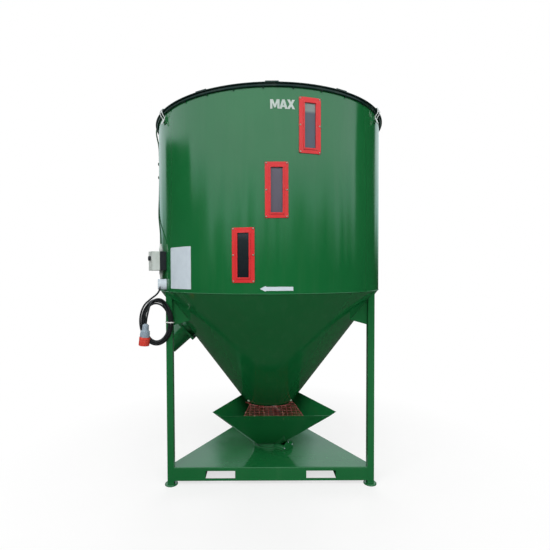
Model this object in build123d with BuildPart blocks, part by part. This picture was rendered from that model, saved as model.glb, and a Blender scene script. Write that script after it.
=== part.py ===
"""Stationary vertical feed mixer: a sheet-steel bin and cone on a three-legged base.

Millimetres. The origin lies on the floor under the axis of the bin, +Z is up and the
front, with the sight windows and the loading hopper, faces -Y. Azimuths are in degrees,
counted from the front towards +X.
"""

import os
from math import cos, pi, radians, sin, sqrt, tan

from build123d import *

# Sheet-steel bin and cone
sheet = 3.0
bin_radius = 750.0
seam_z = 1215.0
rim_z = 2300.0
cone_foot_radius = 178.0
cone_foot_z = 434.0
cone_foot_hole = 95.0
seat_gap = 0.3

# Base frame: three square legs on a circle, a plate, a front apron and two low side aprons
frame_inset = 28.0
leg_size = 40.0
leg_wall = 3.0
foot_radius = 40.0
foot_height = 8.0
plate_z = 106.0
plate_thickness = 4.0
apron_thickness = 5.0
front_apron_z = 29.0
side_apron_height = 40.0
fork_opening_width = 185.0
fork_opening_height = 48.0
fork_opening_z = 43.0
fork_spread = 315.0
fork_guide_thickness = 5.0
fork_guide_rear_y = 20.0
gusset_thickness = 6.0
gusset_leg_z = 1003.0
gusset_cone_z = 1034.0

# Loading hopper, its guard grid, and the boot under it
hopper_wall = 4.0
hopper_foot_z = 145.0
hopper_rim_z = 457.0
hopper_shift = 24.0
hopper_rim = ((337.0, -437.0), (388.0, -367.0), (68.0, 300.0))
hopper_foot = ((82.0, -110.0), (110.0, -82.0), (100.0, 112.0))
boot_radius = 96.0
boot_inner_radius = 92.0
boot_flange_radius = 114.0
boot_flange_thickness = 5.0
clean_out_radius = 55.0
clean_out_reach = 171.0
clean_out_azimuth = 48.0
guard_z = 425.0
guard_bar = 5.0
guard_step = 30.0
guard_rear_y = -100.0
guard_rear_half_width = 150.0
guard_front_half_width = 200.0
guard_front_y = -440.0
guard_shift = 20.0
guard_hoop_radius = 190.0
guard_hoop_width = 8.0

# Auger in its lift tube
lift_tube_inner_radius = 95.0
lift_tube_radius = 98.0
lift_tube_foot_z = 500.0
lift_tube_top_z = 2080.0
strut_height = 40.0
strut_thickness = 6.0
strut_levels = (1250.0, 2040.0)
strut_azimuths = (-60.0, 60.0, 180.0)
shaft_radius = 24.0
shaft_foot_z = 120.0
shaft_seat_depth = 40.0
shaft_play = 4.0
flight_radius = 85.0
flight_pitch = 180.0
flight_thickness = 5.0
flight_foot_z = 135.0
flight_top_z = 640.0
thrower_radius = 180.0
thrower_foot_z = 2100.0
thrower_height = 60.0

# Sight windows: name, azimuth, height of the centre
window_rows = (
    ("low", -11.7, 1420.0),
    ("middle", 1.8, 1757.0),
    ("high", 15.5, 2096.0),
)
frame_width = 122.0
frame_height = 290.0
frame_corner = 6.0
frame_proud = 4.0
lip_proud = 7.0
lip_width = 8.0
opening_width = 62.0
opening_height = 234.0
pane_overlap = 2.0
pane_thickness = 3.0
pane_sink = 0.9
wall_hole_play = 2.0

# Rim and lid
rim_ring_width = 19.0
rim_ring_height = 16.0
lid_thickness = 4.0
lid_rib_width = 70.0
lid_rib_height = 8.0
lid_rib_length = 152.0
lid_rib_overhang = 12.0
lid_rib_count = 12
latch_azimuths = (-57.0, 57.0, 180.0)
latch_plate_width = 48.0
latch_plate_height = 62.0
latch_top_below_rim = 22.0
latch_wire = 6.0
latch_bail_width = 34.0
latch_catch_width = 22.0
latch_catch_height = 26.0
latch_catch_depth = 4.5
latch_bail_proud = 30.0

# Inspection hatch in the lid
hatch_width = 360.0
hatch_depth = 240.0
hatch_y = -430.0
coaming_height = 22.0
coaming_wall = 3.0
hatch_skirt = 12.0
hatch_play = 5.0
hinge_pin_radius = 4.0
hinge_knuckle_radius = 8.0
hinge_knuckle_length = 50.0
hinge_knuckle_spread = 120.0
hinge_clearance = 0.4

# Drive and stubs on the lid
bridge_length = 1200.0
bridge_width = 130.0
bridge_height = 50.0
bridge_wall = 5.0
belt_guard_width = 220.0
belt_guard_height = 80.0
motor_y = 270.0
motor_radius = 95.0
motor_height = 256.0
terminal_reach = 140.0
terminal_width = 80.0
terminal_height = 70.0
stub_flange = 20.0
stub_rows = (
    ("inlet_stub", 145.0, 540.0, 80.0, 110.0),
    ("vent_stub", 430.0, 300.0, 55.0, 90.0),
)

# Discharge chute with its slide gate
chute_azimuth = -90.0
chute_slope = 41.4
chute_radius = 80.0
chute_wall_z = 965.0
chute_end_inset = 78.0
gate_reach = 590.0
gate_thickness = 4.0
gate_plate_thickness = 4.0
gate_flange = 200.0
gate_play = 1.0
gate_rail_width = 14.0
gate_rise = 20.0
gate_handle_height = 30.0

# Switch box on the bin wall
switch_azimuth = -61.0
switch_z = 1402.0
switch_width = 90.0
switch_height = 117.0
switch_base_depth = 40.0
switch_cover_depth = 45.0
switch_corner = 5.0
knob_radius = 14.0
knob_proud = 12.0
knob_rise = 16.0
gland_radius = 11.0
gland_length = 24.0
gland_reach = 20.0

# Cables, and the spare length wound and tied to the left front leg
supply_cable_radius = 5.5
motor_cable_radius = 4.5
clip_width = 14.0
clip_wall = 2.0
clip_play = 1.0
coil_reach = 77.7
coil_drop = 184.0
coil_half_width = 106.0
coil_half_height = 151.0
coil_bundle = 32.0
coil_thickness = 26.0
plug_shift = (-47.0, -52.7, -7.0)
plug_lean = 3.0
plug_radius = 31.5
plug_neck_radius = 12.0
plug_body_length = 80.0
plug_collar_length = 52.0
plug_collar_wall = 4.0

# Values that follow from the sizes above
frame_radius = bin_radius - frame_inset
rim_ring_radius = bin_radius + rim_ring_width
lid_radius = rim_ring_radius
lid_rib_outer_radius = bin_radius + lid_rib_overhang
lid_rib_inner_radius = lid_rib_outer_radius - lid_rib_length
latch_bail_radius = bin_radius + latch_bail_proud
chute_end_x = chute_end_inset - bin_radius
plate_top_z = plate_z + plate_thickness
lid_top_z = rim_z + lid_thickness
bridge_top_z = lid_top_z + bridge_height
motor_foot_z = bridge_top_z + belt_guard_height
coaming_top_z = lid_top_z + coaming_height
frame_side = frame_radius / 2 + leg_size / 2
cone_slope = (bin_radius - cone_foot_radius) / (seam_z - cone_foot_z)
cone_wall_width = sheet * sqrt(1 + cone_slope**2)
leg_x = frame_radius * sin(radians(60))
leg_y = -frame_radius / 2
leg_places = [(-leg_x, leg_y), (leg_x, leg_y), (0.0, frame_radius)]


def polar(azimuth, radius):
    """X and Y of a point at an azimuth, counted from the front towards +X."""
    angle = radians(azimuth)
    return radius * sin(angle), -radius * cos(angle)


def outward_plane(azimuth, radius, height):
    """Plane at a distance from the axis whose normal points outwards and whose Y is up."""
    angle = radians(azimuth)
    x, y = polar(azimuth, radius)
    return Plane(
        origin=(x, y, height),
        x_dir=(cos(angle), sin(angle), 0),
        z_dir=(sin(angle), -cos(angle), 0),
    )


def cone_radius_at(height):
    """Outer radius of the cone at a height."""
    return bin_radius - (seam_z - height) * cone_slope


def both_sides(points, shift):
    """Outline from the points of its right half, with the left half mirrored."""
    right = [(x + shift, y) for x, y in points]
    left = [(shift - x, y) for x, y in reversed(points)]
    return right + left


def save(part, name):
    part.label = name
    export_step(part, f"parts/{name}.step")


os.makedirs("parts", exist_ok=True)

# The filled cone and bin with a small gap round them, which other pieces are cut by
with BuildPart() as cone_space:
    with BuildSketch(Plane.XZ):
        Polygon(
            (0, cone_foot_z - seat_gap),
            (cone_foot_radius + seat_gap, cone_foot_z - seat_gap),
            (bin_radius + seat_gap, seam_z - seat_gap),
            (bin_radius + seat_gap, rim_z),
            (0, rim_z),
            align=None,
        )
    revolve(axis=Axis.Z)

# Legs: square tubes that end on the cone, just under its seam with the bin
with BuildPart() as legs:
    with BuildSketch(Plane.XY.offset(foot_height)):
        with Locations(*leg_places):
            Rectangle(leg_size, leg_size)
            Rectangle(leg_size - 2 * leg_wall, leg_size - 2 * leg_wall, mode=Mode.SUBTRACT)
    extrude(amount=seam_z - foot_height)
    add(cone_space.part, mode=Mode.SUBTRACT)
save(legs.part, "legs")

with BuildPart() as feet:
    with BuildSketch(Plane.XY):
        with Locations(*leg_places):
            Circle(foot_radius)
    extrude(amount=foot_height)
    chamfer(feet.edges().group_by(Axis.Z)[-1], length=foot_height / 2)
save(feet.part, "feet")

# Gusset plates between the legs and the cone, each in the plane of its leg's middle
front_reach = sqrt(cone_radius_at(gusset_cone_z) ** 2 - leg_y**2) - gusset_thickness
rear_reach = cone_radius_at(gusset_cone_z) - gusset_thickness
leg_inner_x = leg_x - leg_size / 2
leg_inner_y = frame_radius - leg_size / 2
with BuildPart() as gussets:
    with BuildSketch(Plane.XZ.offset(-leg_y)):
        for side in (-1, 1):
            Polygon(
                (side * leg_inner_x, gusset_leg_z),
                (side * front_reach, gusset_cone_z),
                (side * front_reach, seam_z),
                (side * leg_inner_x, seam_z),
                align=None,
            )
    extrude(amount=gusset_thickness / 2, both=True)
    with BuildSketch(Plane.YZ):
        Polygon(
            (leg_inner_y, gusset_leg_z),
            (rear_reach, gusset_cone_z),
            (rear_reach, seam_z),
            (leg_inner_y, seam_z),
            align=None,
        )
    extrude(amount=gusset_thickness / 2, both=True)
    add(cone_space.part, mode=Mode.SUBTRACT)
save(gussets.part, "gusset_plates")

# Base plate: a triangle under which the aprons hang, notched round the legs
with BuildPart() as base_plate:
    with BuildSketch(Plane.XY.offset(plate_z)):
        RegularPolygon(radius=2 * frame_side, side_count=3, rotation=90)
        Circle(frame_radius, mode=Mode.INTERSECT)
        with Locations(*leg_places):
            Rectangle(leg_size, leg_size, mode=Mode.SUBTRACT)
    extrude(amount=plate_thickness)
save(base_plate.part, "base_plate")

# Front apron between the legs, with the two fork openings
fork_middle_z = fork_opening_z + fork_opening_height / 2
with BuildPart() as front_apron:
    with BuildSketch(Plane.XZ.offset(frame_side - apron_thickness)):
        with Locations((0, (front_apron_z + plate_z) / 2)):
            Rectangle(2 * leg_inner_x, plate_z - front_apron_z)
        with Locations((-fork_spread, fork_middle_z), (fork_spread, fork_middle_z)):
            Rectangle(fork_opening_width, fork_opening_height, mode=Mode.SUBTRACT)
    extrude(amount=apron_thickness)
save(front_apron.part, "front_apron")

# Fork guides: strips behind the apron on both sides of each opening
with BuildPart() as fork_guides:
    guide_front_y = apron_thickness - frame_side
    with BuildSketch(Plane.XY.offset(fork_opening_z)):
        for middle in (-fork_spread, fork_spread):
            for side in (-1, 1):
                x = middle + side * (fork_opening_width + fork_guide_thickness) / 2
                with Locations((x, (guide_front_y + fork_guide_rear_y) / 2)):
                    Rectangle(fork_guide_thickness, fork_guide_rear_y - guide_front_y)
    extrude(amount=plate_z - fork_opening_z)
save(fork_guides.part, "fork_guides")

# Side aprons: low strips under the two rear edges, from leg to leg
with BuildPart() as side_aprons:
    for azimuth in (-120.0, 120.0):
        strip_z = plate_z - side_apron_height / 2
        with BuildSketch(outward_plane(azimuth, frame_side - apron_thickness, strip_z)):
            Rectangle(2 * frame_radius, side_apron_height)
        extrude(amount=apron_thickness)
    with BuildSketch(Plane.XY):
        Rectangle(leg_size, 4 * frame_radius)
        with Locations((0, leg_y + leg_size / 2 - frame_radius)):
            Rectangle(4 * frame_radius, 2 * frame_radius)
        with Locations((0, 2 * frame_radius + leg_size / 2)):
            Rectangle(4 * frame_radius, 2 * frame_radius)
    extrude(amount=plate_top_z, mode=Mode.SUBTRACT)
save(side_aprons.part, "side_aprons")

# Bin: a cylinder of sheet with the holes of the sight windows
hole_width = opening_width + 2 * (pane_overlap + wall_hole_play)
hole_height = opening_height + 2 * (pane_overlap + wall_hole_play)
with BuildPart() as bin_shell:
    with BuildSketch(Plane.XY.offset(seam_z)):
        Circle(bin_radius)
        Circle(bin_radius - sheet, mode=Mode.SUBTRACT)
    extrude(amount=rim_z - seam_z)
    for window_name, azimuth, middle_z in window_rows:
        with BuildSketch(outward_plane(azimuth, bin_radius / 2, middle_z)):
            Rectangle(hole_width, hole_height)
        extrude(amount=bin_radius, mode=Mode.SUBTRACT)
save(bin_shell.part, "bin_shell")

# Sight windows: a curved frame with a raised lip, over a pane set in the wall
for window_name, azimuth, middle_z in window_rows:
    with BuildPart() as window_frame:
        with BuildSketch(outward_plane(azimuth, bin_radius / 2, middle_z)):
            RectangleRounded(frame_width, frame_height, frame_corner)
        extrude(amount=bin_radius)
        with BuildSketch(Plane.XY.offset(middle_z - frame_height)):
            Circle(bin_radius + frame_proud)
        extrude(amount=2 * frame_height, mode=Mode.INTERSECT)
        with BuildSketch(outward_plane(azimuth, bin_radius, middle_z)):
            Rectangle(opening_width + 2 * lip_width, opening_height + 2 * lip_width)
        extrude(amount=lip_proud)
        with BuildSketch(outward_plane(azimuth, bin_radius / 2, middle_z)):
            Rectangle(opening_width, opening_height)
        extrude(amount=bin_radius, mode=Mode.SUBTRACT)
        with BuildSketch(Plane.XY.offset(middle_z - frame_height)):
            Circle(bin_radius)
        extrude(amount=2 * frame_height, mode=Mode.SUBTRACT)
    save(window_frame.part, f"window_frame_{window_name}")

with BuildPart() as window_panes:
    for window_name, azimuth, middle_z in window_rows:
        with BuildSketch(outward_plane(azimuth, bin_radius - pane_sink - pane_thickness, middle_z)):
            Rectangle(opening_width + 2 * pane_overlap, opening_height + 2 * pane_overlap)
        extrude(amount=pane_thickness)
save(window_panes.part, "window_panes")

# Cone: a shell that closes at its foot round the auger, with the hole of the chute
chute_wall_radius = cone_radius_at(chute_wall_z)
slope_angle = radians(chute_slope)
chute_side = polar(chute_azimuth, cos(slope_angle))
chute_axis = Vector(chute_side[0], chute_side[1], -sin(slope_angle))


def chute_plane(reach):
    """Plane across the chute, where its axis is at a distance from the axis of the bin."""
    angle = radians(chute_azimuth)
    x, y = polar(chute_azimuth, reach)
    z = chute_wall_z - (reach - chute_wall_radius) * tan(slope_angle)
    return Plane(origin=(x, y, z), x_dir=(cos(angle), sin(angle), 0), z_dir=chute_axis)


with BuildPart() as cone_shell:
    with BuildSketch(Plane.XZ):
        Polygon(
            (cone_foot_hole, cone_foot_z),
            (cone_foot_radius, cone_foot_z),
            (bin_radius, seam_z),
            (bin_radius - cone_wall_width, seam_z),
            (cone_radius_at(cone_foot_z + sheet) - cone_wall_width, cone_foot_z + sheet),
            (cone_foot_hole, cone_foot_z + sheet),
            align=None,
        )
    revolve(axis=Axis.Z)
    with BuildSketch(chute_plane(chute_wall_radius / 2)):
        Circle(chute_radius + seat_gap)
    extrude(amount=chute_wall_radius, mode=Mode.SUBTRACT)
save(cone_shell.part, "cone_shell")

# Chute: a neck with the upper gate flange and rails, and a spout with the lower flange
gate_slot = gate_thickness + 2 * gate_play
upper_flange = chute_plane(gate_reach).offset(-gate_slot / 2 - gate_plate_thickness)
lower_flange = chute_plane(gate_reach).offset(gate_slot / 2)
neck_root = chute_plane(chute_wall_radius - chute_radius)
neck_length = (upper_flange.origin - neck_root.origin).length
rail_middle = (gate_flange - gate_rail_width) / 2
with BuildPart() as chute_neck:
    with BuildSketch(neck_root):
        Circle(chute_radius)
    extrude(amount=neck_length)
    with BuildSketch(upper_flange):
        Rectangle(gate_flange, gate_flange)
    extrude(amount=gate_plate_thickness)
    with BuildSketch(neck_root):
        Circle(chute_radius - sheet)
    extrude(amount=2 * neck_length, mode=Mode.SUBTRACT)
    with BuildSketch(Plane.XZ):
        Polygon(
            (0, cone_foot_z),
            (cone_radius_at(cone_foot_z) - cone_wall_width, cone_foot_z),
            (cone_radius_at(seam_z) - cone_wall_width, seam_z),
            (0, seam_z),
            align=None,
        )
    revolve(axis=Axis.Z, mode=Mode.SUBTRACT)
    with BuildSketch(upper_flange.offset(gate_plate_thickness)):
        with Locations((rail_middle, 0), (-rail_middle, 0)):
            Rectangle(gate_rail_width, gate_flange)
        with Locations((0, -rail_middle)):
            Rectangle(gate_flange, gate_rail_width)
    extrude(amount=gate_slot)
save(chute_neck.part, "chute_neck")

with BuildPart() as chute_spout:
    with BuildSketch(lower_flange):
        Rectangle(gate_flange, gate_flange)
    extrude(amount=gate_plate_thickness)
    with BuildSketch(lower_flange):
        Circle(chute_radius)
    extrude(amount=gate_flange)
    with BuildSketch(lower_flange):
        Circle(chute_radius - sheet)
    extrude(amount=gate_flange, mode=Mode.SUBTRACT)
    with BuildSketch(Plane.YZ.offset(chute_end_x)):
        with Locations((0, chute_wall_z)):
            Rectangle(4 * chute_radius, 4 * gate_flange)
        with Locations((0, chute_wall_z + gate_flange)):
            Rectangle(4 * chute_radius, 2 * gate_flange - 4 * chute_radius, mode=Mode.SUBTRACT)
    extrude(amount=-gate_flange, mode=Mode.SUBTRACT)
save(chute_spout.part, "chute_spout")

# Slide gate: a plate between the flanges that is pulled up and outwards by its handle
gate_half_width = gate_flange / 2 - gate_rail_width - gate_play
gate_top = gate_flange / 2 + gate_rise
with BuildPart() as gate_blade:
    with BuildSketch(chute_plane(gate_reach).offset(-gate_thickness / 2)):
        with Locations((0, (gate_top - gate_half_width) / 2)):
            Rectangle(2 * gate_half_width, gate_top + gate_half_width)
    extrude(amount=gate_thickness)
    with BuildSketch(chute_plane(gate_reach).offset(gate_thickness / 2)):
        with Locations((0, gate_top - gate_thickness / 2)):
            Rectangle(2 * gate_half_width, gate_thickness)
    extrude(amount=gate_handle_height)
save(gate_blade.part, "gate_blade")

# Lift tube, held by struts to the bin wall
with BuildPart() as lift_tube:
    with BuildSketch(Plane.XY.offset(lift_tube_foot_z)):
        Circle(lift_tube_radius)
        Circle(lift_tube_inner_radius, mode=Mode.SUBTRACT)
    extrude(amount=lift_tube_top_z - lift_tube_foot_z)
save(lift_tube.part, "lift_tube")

with BuildPart() as tube_struts:
    for level in strut_levels:
        for azimuth in strut_azimuths:
            with BuildSketch(outward_plane(azimuth, lift_tube_radius - sheet, level)):
                Rectangle(strut_thickness, strut_height)
            extrude(amount=bin_radius - sheet - lift_tube_radius + 2 * sheet)
    with BuildSketch(Plane.XY.offset(seam_z)):
        Circle(lift_tube_radius)
    extrude(amount=rim_z - seam_z, mode=Mode.SUBTRACT)
    with BuildSketch(Plane.XY.offset(seam_z)):
        Circle(bin_radius - sheet)
    extrude(amount=rim_z - seam_z, mode=Mode.INTERSECT)
save(tube_struts.part, "tube_struts")

# Hopper: an open funnel with a straight front, cut corners and sides that close to the rear
with BuildPart() as hopper_space:
    with BuildSketch(Plane.XY.offset(hopper_foot_z)):
        Polygon(*both_sides(hopper_foot, 0.0), align=None)
        offset(amount=-hopper_wall, kind=Kind.INTERSECTION, mode=Mode.REPLACE)
    with BuildSketch(Plane.XY.offset(hopper_rim_z)):
        Polygon(*both_sides(hopper_rim, hopper_shift), align=None)
        offset(amount=-hopper_wall, kind=Kind.INTERSECTION, mode=Mode.REPLACE)
    loft(ruled=True)

with BuildPart() as hopper:
    with BuildSketch(Plane.XY.offset(hopper_foot_z - sheet)):
        Polygon(*both_sides(hopper_foot, 0.0), align=None)
    with BuildSketch(Plane.XY.offset(hopper_rim_z)):
        Polygon(*both_sides(hopper_rim, hopper_shift), align=None)
    loft(ruled=True)
    add(hopper_space.part, mode=Mode.SUBTRACT)
    with BuildSketch(Plane.XY.offset(hopper_foot_z - 2 * sheet)):
        Circle(boot_inner_radius)
    extrude(amount=4 * sheet, mode=Mode.SUBTRACT)
    add(cone_space.part, mode=Mode.SUBTRACT)
save(hopper.part, "hopper")

# Guard grid: flat bars in front of the cone's foot and a hoop round it
hoop_inner = guard_hoop_radius - guard_hoop_width
guard_outline = both_sides(
    ((guard_rear_half_width, guard_rear_y), (guard_front_half_width, guard_front_y)),
    guard_shift,
)
with BuildPart() as hopper_guard:
    with BuildSketch(Plane.XY.offset(guard_z)):
        for column in range(-7, 8):
            with Locations((guard_shift + column * guard_step, guard_front_y / 2)):
                Rectangle(guard_bar, -guard_front_y)
        for row in range(12):
            with Locations((guard_shift, guard_rear_y - (row + 0.5) * guard_step)):
                Rectangle(3 * guard_front_half_width, guard_bar)
        Polygon(*guard_outline, align=None, mode=Mode.INTERSECT)
        for side in (-1, 1):
            rear_x = guard_shift + side * guard_rear_half_width
            front_x = guard_shift + side * guard_front_half_width
            Polygon(
                (rear_x - side * guard_bar, guard_rear_y),
                (rear_x, guard_rear_y),
                (front_x, guard_front_y),
                (front_x - side * guard_bar, guard_front_y),
                align=None,
            )
        Circle(hoop_inner, mode=Mode.SUBTRACT)
    extrude(amount=guard_bar)
    with BuildSketch(Plane.XY.offset(guard_z)):
        Circle(guard_hoop_radius)
        Circle(hoop_inner, mode=Mode.SUBTRACT)
        with Locations((0, guard_hoop_radius)):
            Rectangle(4 * guard_hoop_radius, 2 * guard_hoop_radius - 1.2 * guard_rear_y, mode=Mode.SUBTRACT)
    extrude(amount=guard_bar)
    with BuildSketch(Plane.XY.offset(guard_z + guard_bar)):
        for azimuth in (-52.0, 55.0):
            with Locations(Location((*polar(azimuth, hoop_inner - 4), 0), (0, 0, azimuth))):
                Rectangle(24.0, 24.0)
        Circle(cone_foot_radius - 22.0, mode=Mode.SUBTRACT)
    extrude(amount=cone_foot_z - guard_z - guard_bar)
    add(hopper_space.part, mode=Mode.INTERSECT)
save(hopper_guard.part, "hopper_guard")

# Boot: the round foot of the hopper on the base plate, with a half-round clean-out stub
boot_top_z = hopper_foot_z - sheet
with BuildPart() as boot:
    with BuildSketch(outward_plane(clean_out_azimuth, 0, plate_top_z)):
        Circle(clean_out_radius - boot_flange_thickness)
    extrude(amount=clean_out_reach)
    with BuildSketch(outward_plane(clean_out_azimuth, boot_inner_radius, plate_top_z)):
        Circle(clean_out_radius - boot_flange_thickness - sheet)
    extrude(amount=clean_out_reach, mode=Mode.SUBTRACT)
    with BuildSketch(Plane.XY.offset(plate_top_z)):
        Circle(boot_flange_radius)
    extrude(amount=boot_flange_thickness)
    with BuildSketch(Plane.XY.offset(plate_top_z)):
        Circle(boot_radius)
    extrude(amount=boot_top_z - plate_top_z)
    with BuildSketch(Plane.XY.offset(plate_top_z - 2 * clean_out_radius)):
        Circle(2 * clean_out_reach)
    extrude(amount=2 * clean_out_radius, mode=Mode.SUBTRACT)
    with BuildSketch(Plane.XY.offset(plate_top_z)):
        Circle(boot_inner_radius)
    extrude(amount=2 * clean_out_radius, mode=Mode.SUBTRACT)
    with BuildSketch(Plane.XY.offset(boot_top_z)):
        Circle(boot_flange_radius + clean_out_radius)
    extrude(amount=2 * clean_out_radius, mode=Mode.SUBTRACT)
save(boot.part, "boot")

with BuildPart() as clean_out_cover:
    with BuildSketch(outward_plane(clean_out_azimuth, clean_out_reach, plate_top_z)):
        Circle(clean_out_radius)
    extrude(amount=boot_flange_thickness)
    with BuildSketch(Plane.XY.offset(plate_top_z - 2 * clean_out_radius)):
        Circle(2 * clean_out_reach)
    extrude(amount=2 * clean_out_radius, mode=Mode.SUBTRACT)
save(clean_out_cover.part, "clean_out_cover")

# Auger: a shaft from the boot to the drive, a flight and a thrower over the tube
with BuildPart() as auger:
    with BuildSketch(Plane.XY.offset(shaft_foot_z)):
        Circle(shaft_radius)
    extrude(amount=bridge_top_z + shaft_seat_depth - seat_gap - shaft_foot_z)
    with BuildLine() as flight_path:
        Helix(
            pitch=flight_pitch,
            height=flight_top_z - flight_foot_z,
            radius=(shaft_radius + flight_radius) / 2 - 2.0,
            center=(0, 0, flight_foot_z),
        )
    with BuildSketch(Plane(flight_path.line @ 0, x_dir=(1, 0, 0), z_dir=flight_path.line % 0)):
        Rectangle(flight_radius - shaft_radius + 4.0, flight_thickness)
    sweep(path=flight_path.line, is_frenet=True)
    with BuildSketch(Plane.XZ.offset(-flight_thickness / 2)):
        with Locations((0, thrower_foot_z + thrower_height / 2)):
            Rectangle(2 * thrower_radius, thrower_height)
    extrude(amount=flight_thickness)
save(auger.part, "auger")

# Lid: a disc with ribs at its edge, a coaming round the hatch, and holes under the stubs
rib_middle = (lid_rib_inner_radius + lid_rib_outer_radius) / 2
with BuildPart() as lid:
    with BuildSketch(Plane.XY.offset(rim_z)):
        Circle(lid_radius)
    extrude(amount=lid_thickness)
    with BuildSketch(Plane.XY.offset(lid_top_z)):
        for rib in range(lid_rib_count):
            azimuth = rib * 360.0 / lid_rib_count
            with Locations(Location((*polar(azimuth, rib_middle), 0), (0, 0, azimuth))):
                Rectangle(lid_rib_width, lid_rib_outer_radius - lid_rib_inner_radius)
    extrude(amount=lid_rib_height)
    with BuildSketch(Plane.XY.offset(lid_top_z)):
        with Locations((0, hatch_y)):
            Rectangle(hatch_width + 2 * coaming_wall, hatch_depth + 2 * coaming_wall)
    extrude(amount=coaming_height)
    with BuildSketch(Plane.XY.offset(rim_z)):
        with Locations((0, hatch_y)):
            Rectangle(hatch_width, hatch_depth)
        Circle(shaft_radius + shaft_play)
        for stub_name, x, y, stub_radius, stub_height in stub_rows:
            with Locations((x, y)):
                Circle(stub_radius - sheet)
    extrude(amount=lid_thickness + coaming_height, mode=Mode.SUBTRACT)
save(lid.part, "lid")

with BuildPart() as rim_ring:
    with BuildSketch(Plane.XY.offset(rim_z - rim_ring_height)):
        Circle(rim_ring_radius)
        Circle(bin_radius, mode=Mode.SUBTRACT)
    extrude(amount=rim_ring_height)
save(rim_ring.part, "rim_ring")

# Hatch: a tray-shaped cover that lifts on two knuckles at its rear edge
coaming_rear_y = hatch_y + hatch_depth / 2 + coaming_wall
hinge_y = coaming_rear_y + hatch_play + hinge_knuckle_radius
hinge_z = coaming_top_z - hinge_knuckle_radius * 0.75
cover_front_y = hatch_y - hatch_depth / 2 - coaming_wall - hatch_play - sheet
cover_half_width = hatch_width / 2 + coaming_wall + hatch_play + sheet
cover_z = coaming_top_z + seat_gap
skirt_depth = coaming_rear_y - hatch_play - cover_front_y
with BuildPart() as hatch:
    with BuildSketch(Plane.XY.offset(cover_z)):
        with Locations((0, (cover_front_y + hinge_y) / 2)):
            Rectangle(2 * cover_half_width, hinge_y - cover_front_y)
    extrude(amount=sheet)
    with BuildSketch(Plane.XY.offset(cover_z)):
        with Locations((0, cover_front_y + sheet / 2)):
            Rectangle(2 * cover_half_width, sheet)
        for side in (-1, 1):
            with Locations((side * (cover_half_width - sheet / 2), cover_front_y + skirt_depth / 2)):
                Rectangle(sheet, skirt_depth)
    extrude(amount=-hatch_skirt)
    for side in (-1, 1):
        with BuildSketch(Plane.YZ.offset(side * hinge_knuckle_spread - hinge_knuckle_length / 2)):
            with Locations((hinge_y, hinge_z)):
                Circle(hinge_knuckle_radius)
        extrude(amount=hinge_knuckle_length)
    with BuildSketch(Plane.YZ.offset(-hatch_width)):
        with Locations((hinge_y, hinge_z)):
            Circle(hinge_pin_radius + hinge_clearance)
    extrude(amount=2 * hatch_width, mode=Mode.SUBTRACT)
save(hatch.part, "hatch")

pin_length = 2 * hinge_knuckle_spread + hinge_knuckle_length + 60.0
ear_x = hinge_knuckle_spread + hinge_knuckle_length / 2 + 12.0
with BuildPart() as hatch_hinge:
    with BuildSketch(Plane.YZ.offset(-pin_length / 2)):
        with Locations((hinge_y, hinge_z)):
            Circle(hinge_pin_radius)
    extrude(amount=pin_length)
    for x in (-ear_x, 0.0, ear_x):
        with BuildSketch(Plane.YZ.offset(x - hinge_knuckle_radius / 2)):
            with Locations((hinge_y, hinge_z)):
                Circle(hinge_knuckle_radius / 1.5)
            with Locations((hinge_y, (hinge_z + lid_top_z) / 2)):
                Rectangle(hinge_knuckle_radius, hinge_z - lid_top_z)
        extrude(amount=hinge_knuckle_radius)
save(hatch_hinge.part, "hatch_hinge")

# Drive: a channel across the lid carries the belt guard and the upright motor
with BuildPart() as drive_bridge:
    with BuildSketch(Plane.YZ.offset(-bridge_length / 2)):
        with Locations((0, lid_top_z + bridge_height / 2)):
            Rectangle(bridge_width, bridge_height)
        with Locations((0, lid_top_z + (bridge_height - bridge_wall) / 2)):
            Rectangle(bridge_width - 2 * bridge_wall, bridge_height - bridge_wall, mode=Mode.SUBTRACT)
    extrude(amount=bridge_length)
    with BuildSketch(Plane.XY.offset(lid_top_z)):
        Circle(shaft_radius + shaft_play)
    extrude(amount=2 * bridge_height, mode=Mode.SUBTRACT)
save(drive_bridge.part, "drive_bridge")

with BuildPart() as belt_guard:
    with BuildSketch(Plane.XY.offset(bridge_top_z)):
        with Locations((0, motor_y / 2)):
            SlotCenterToCenter(motor_y, belt_guard_width, rotation=90)
    extrude(amount=belt_guard_height)
    with BuildSketch(Plane.XY.offset(bridge_top_z)):
        Circle(shaft_radius + seat_gap)
    extrude(amount=shaft_seat_depth, mode=Mode.SUBTRACT)
save(belt_guard.part, "belt_guard")

terminal_z = motor_foot_z + motor_height / 2
with BuildPart() as motor:
    with BuildSketch(Plane.XY.offset(motor_foot_z)):
        with Locations((0, motor_y)):
            Circle(motor_radius)
    extrude(amount=motor_height)
    fillet(motor.edges().group_by(Axis.Z)[-1], radius=motor_radius / 6)
    with BuildSketch(Plane.YZ.offset(-terminal_reach)):
        with Locations((motor_y, terminal_z)):
            Rectangle(terminal_width, terminal_height)
    extrude(amount=terminal_reach)
save(motor.part, "motor")

# Stubs on the lid: the filling inlet and the air vent
for stub_name, x, y, stub_radius, stub_height in stub_rows:
    with BuildPart() as stub:
        with BuildSketch(Plane.XY.offset(lid_top_z)):
            with Locations((x, y)):
                Circle(stub_radius + stub_flange)
        extrude(amount=sheet)
        with BuildSketch(Plane.XY.offset(lid_top_z)):
            with Locations((x, y)):
                Circle(stub_radius)
        extrude(amount=stub_height)
        with BuildSketch(Plane.XY.offset(lid_top_z)):
            with Locations((x, y)):
                Circle(stub_radius - sheet)
        extrude(amount=stub_height, mode=Mode.SUBTRACT)
    save(stub.part, stub_name)

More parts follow.
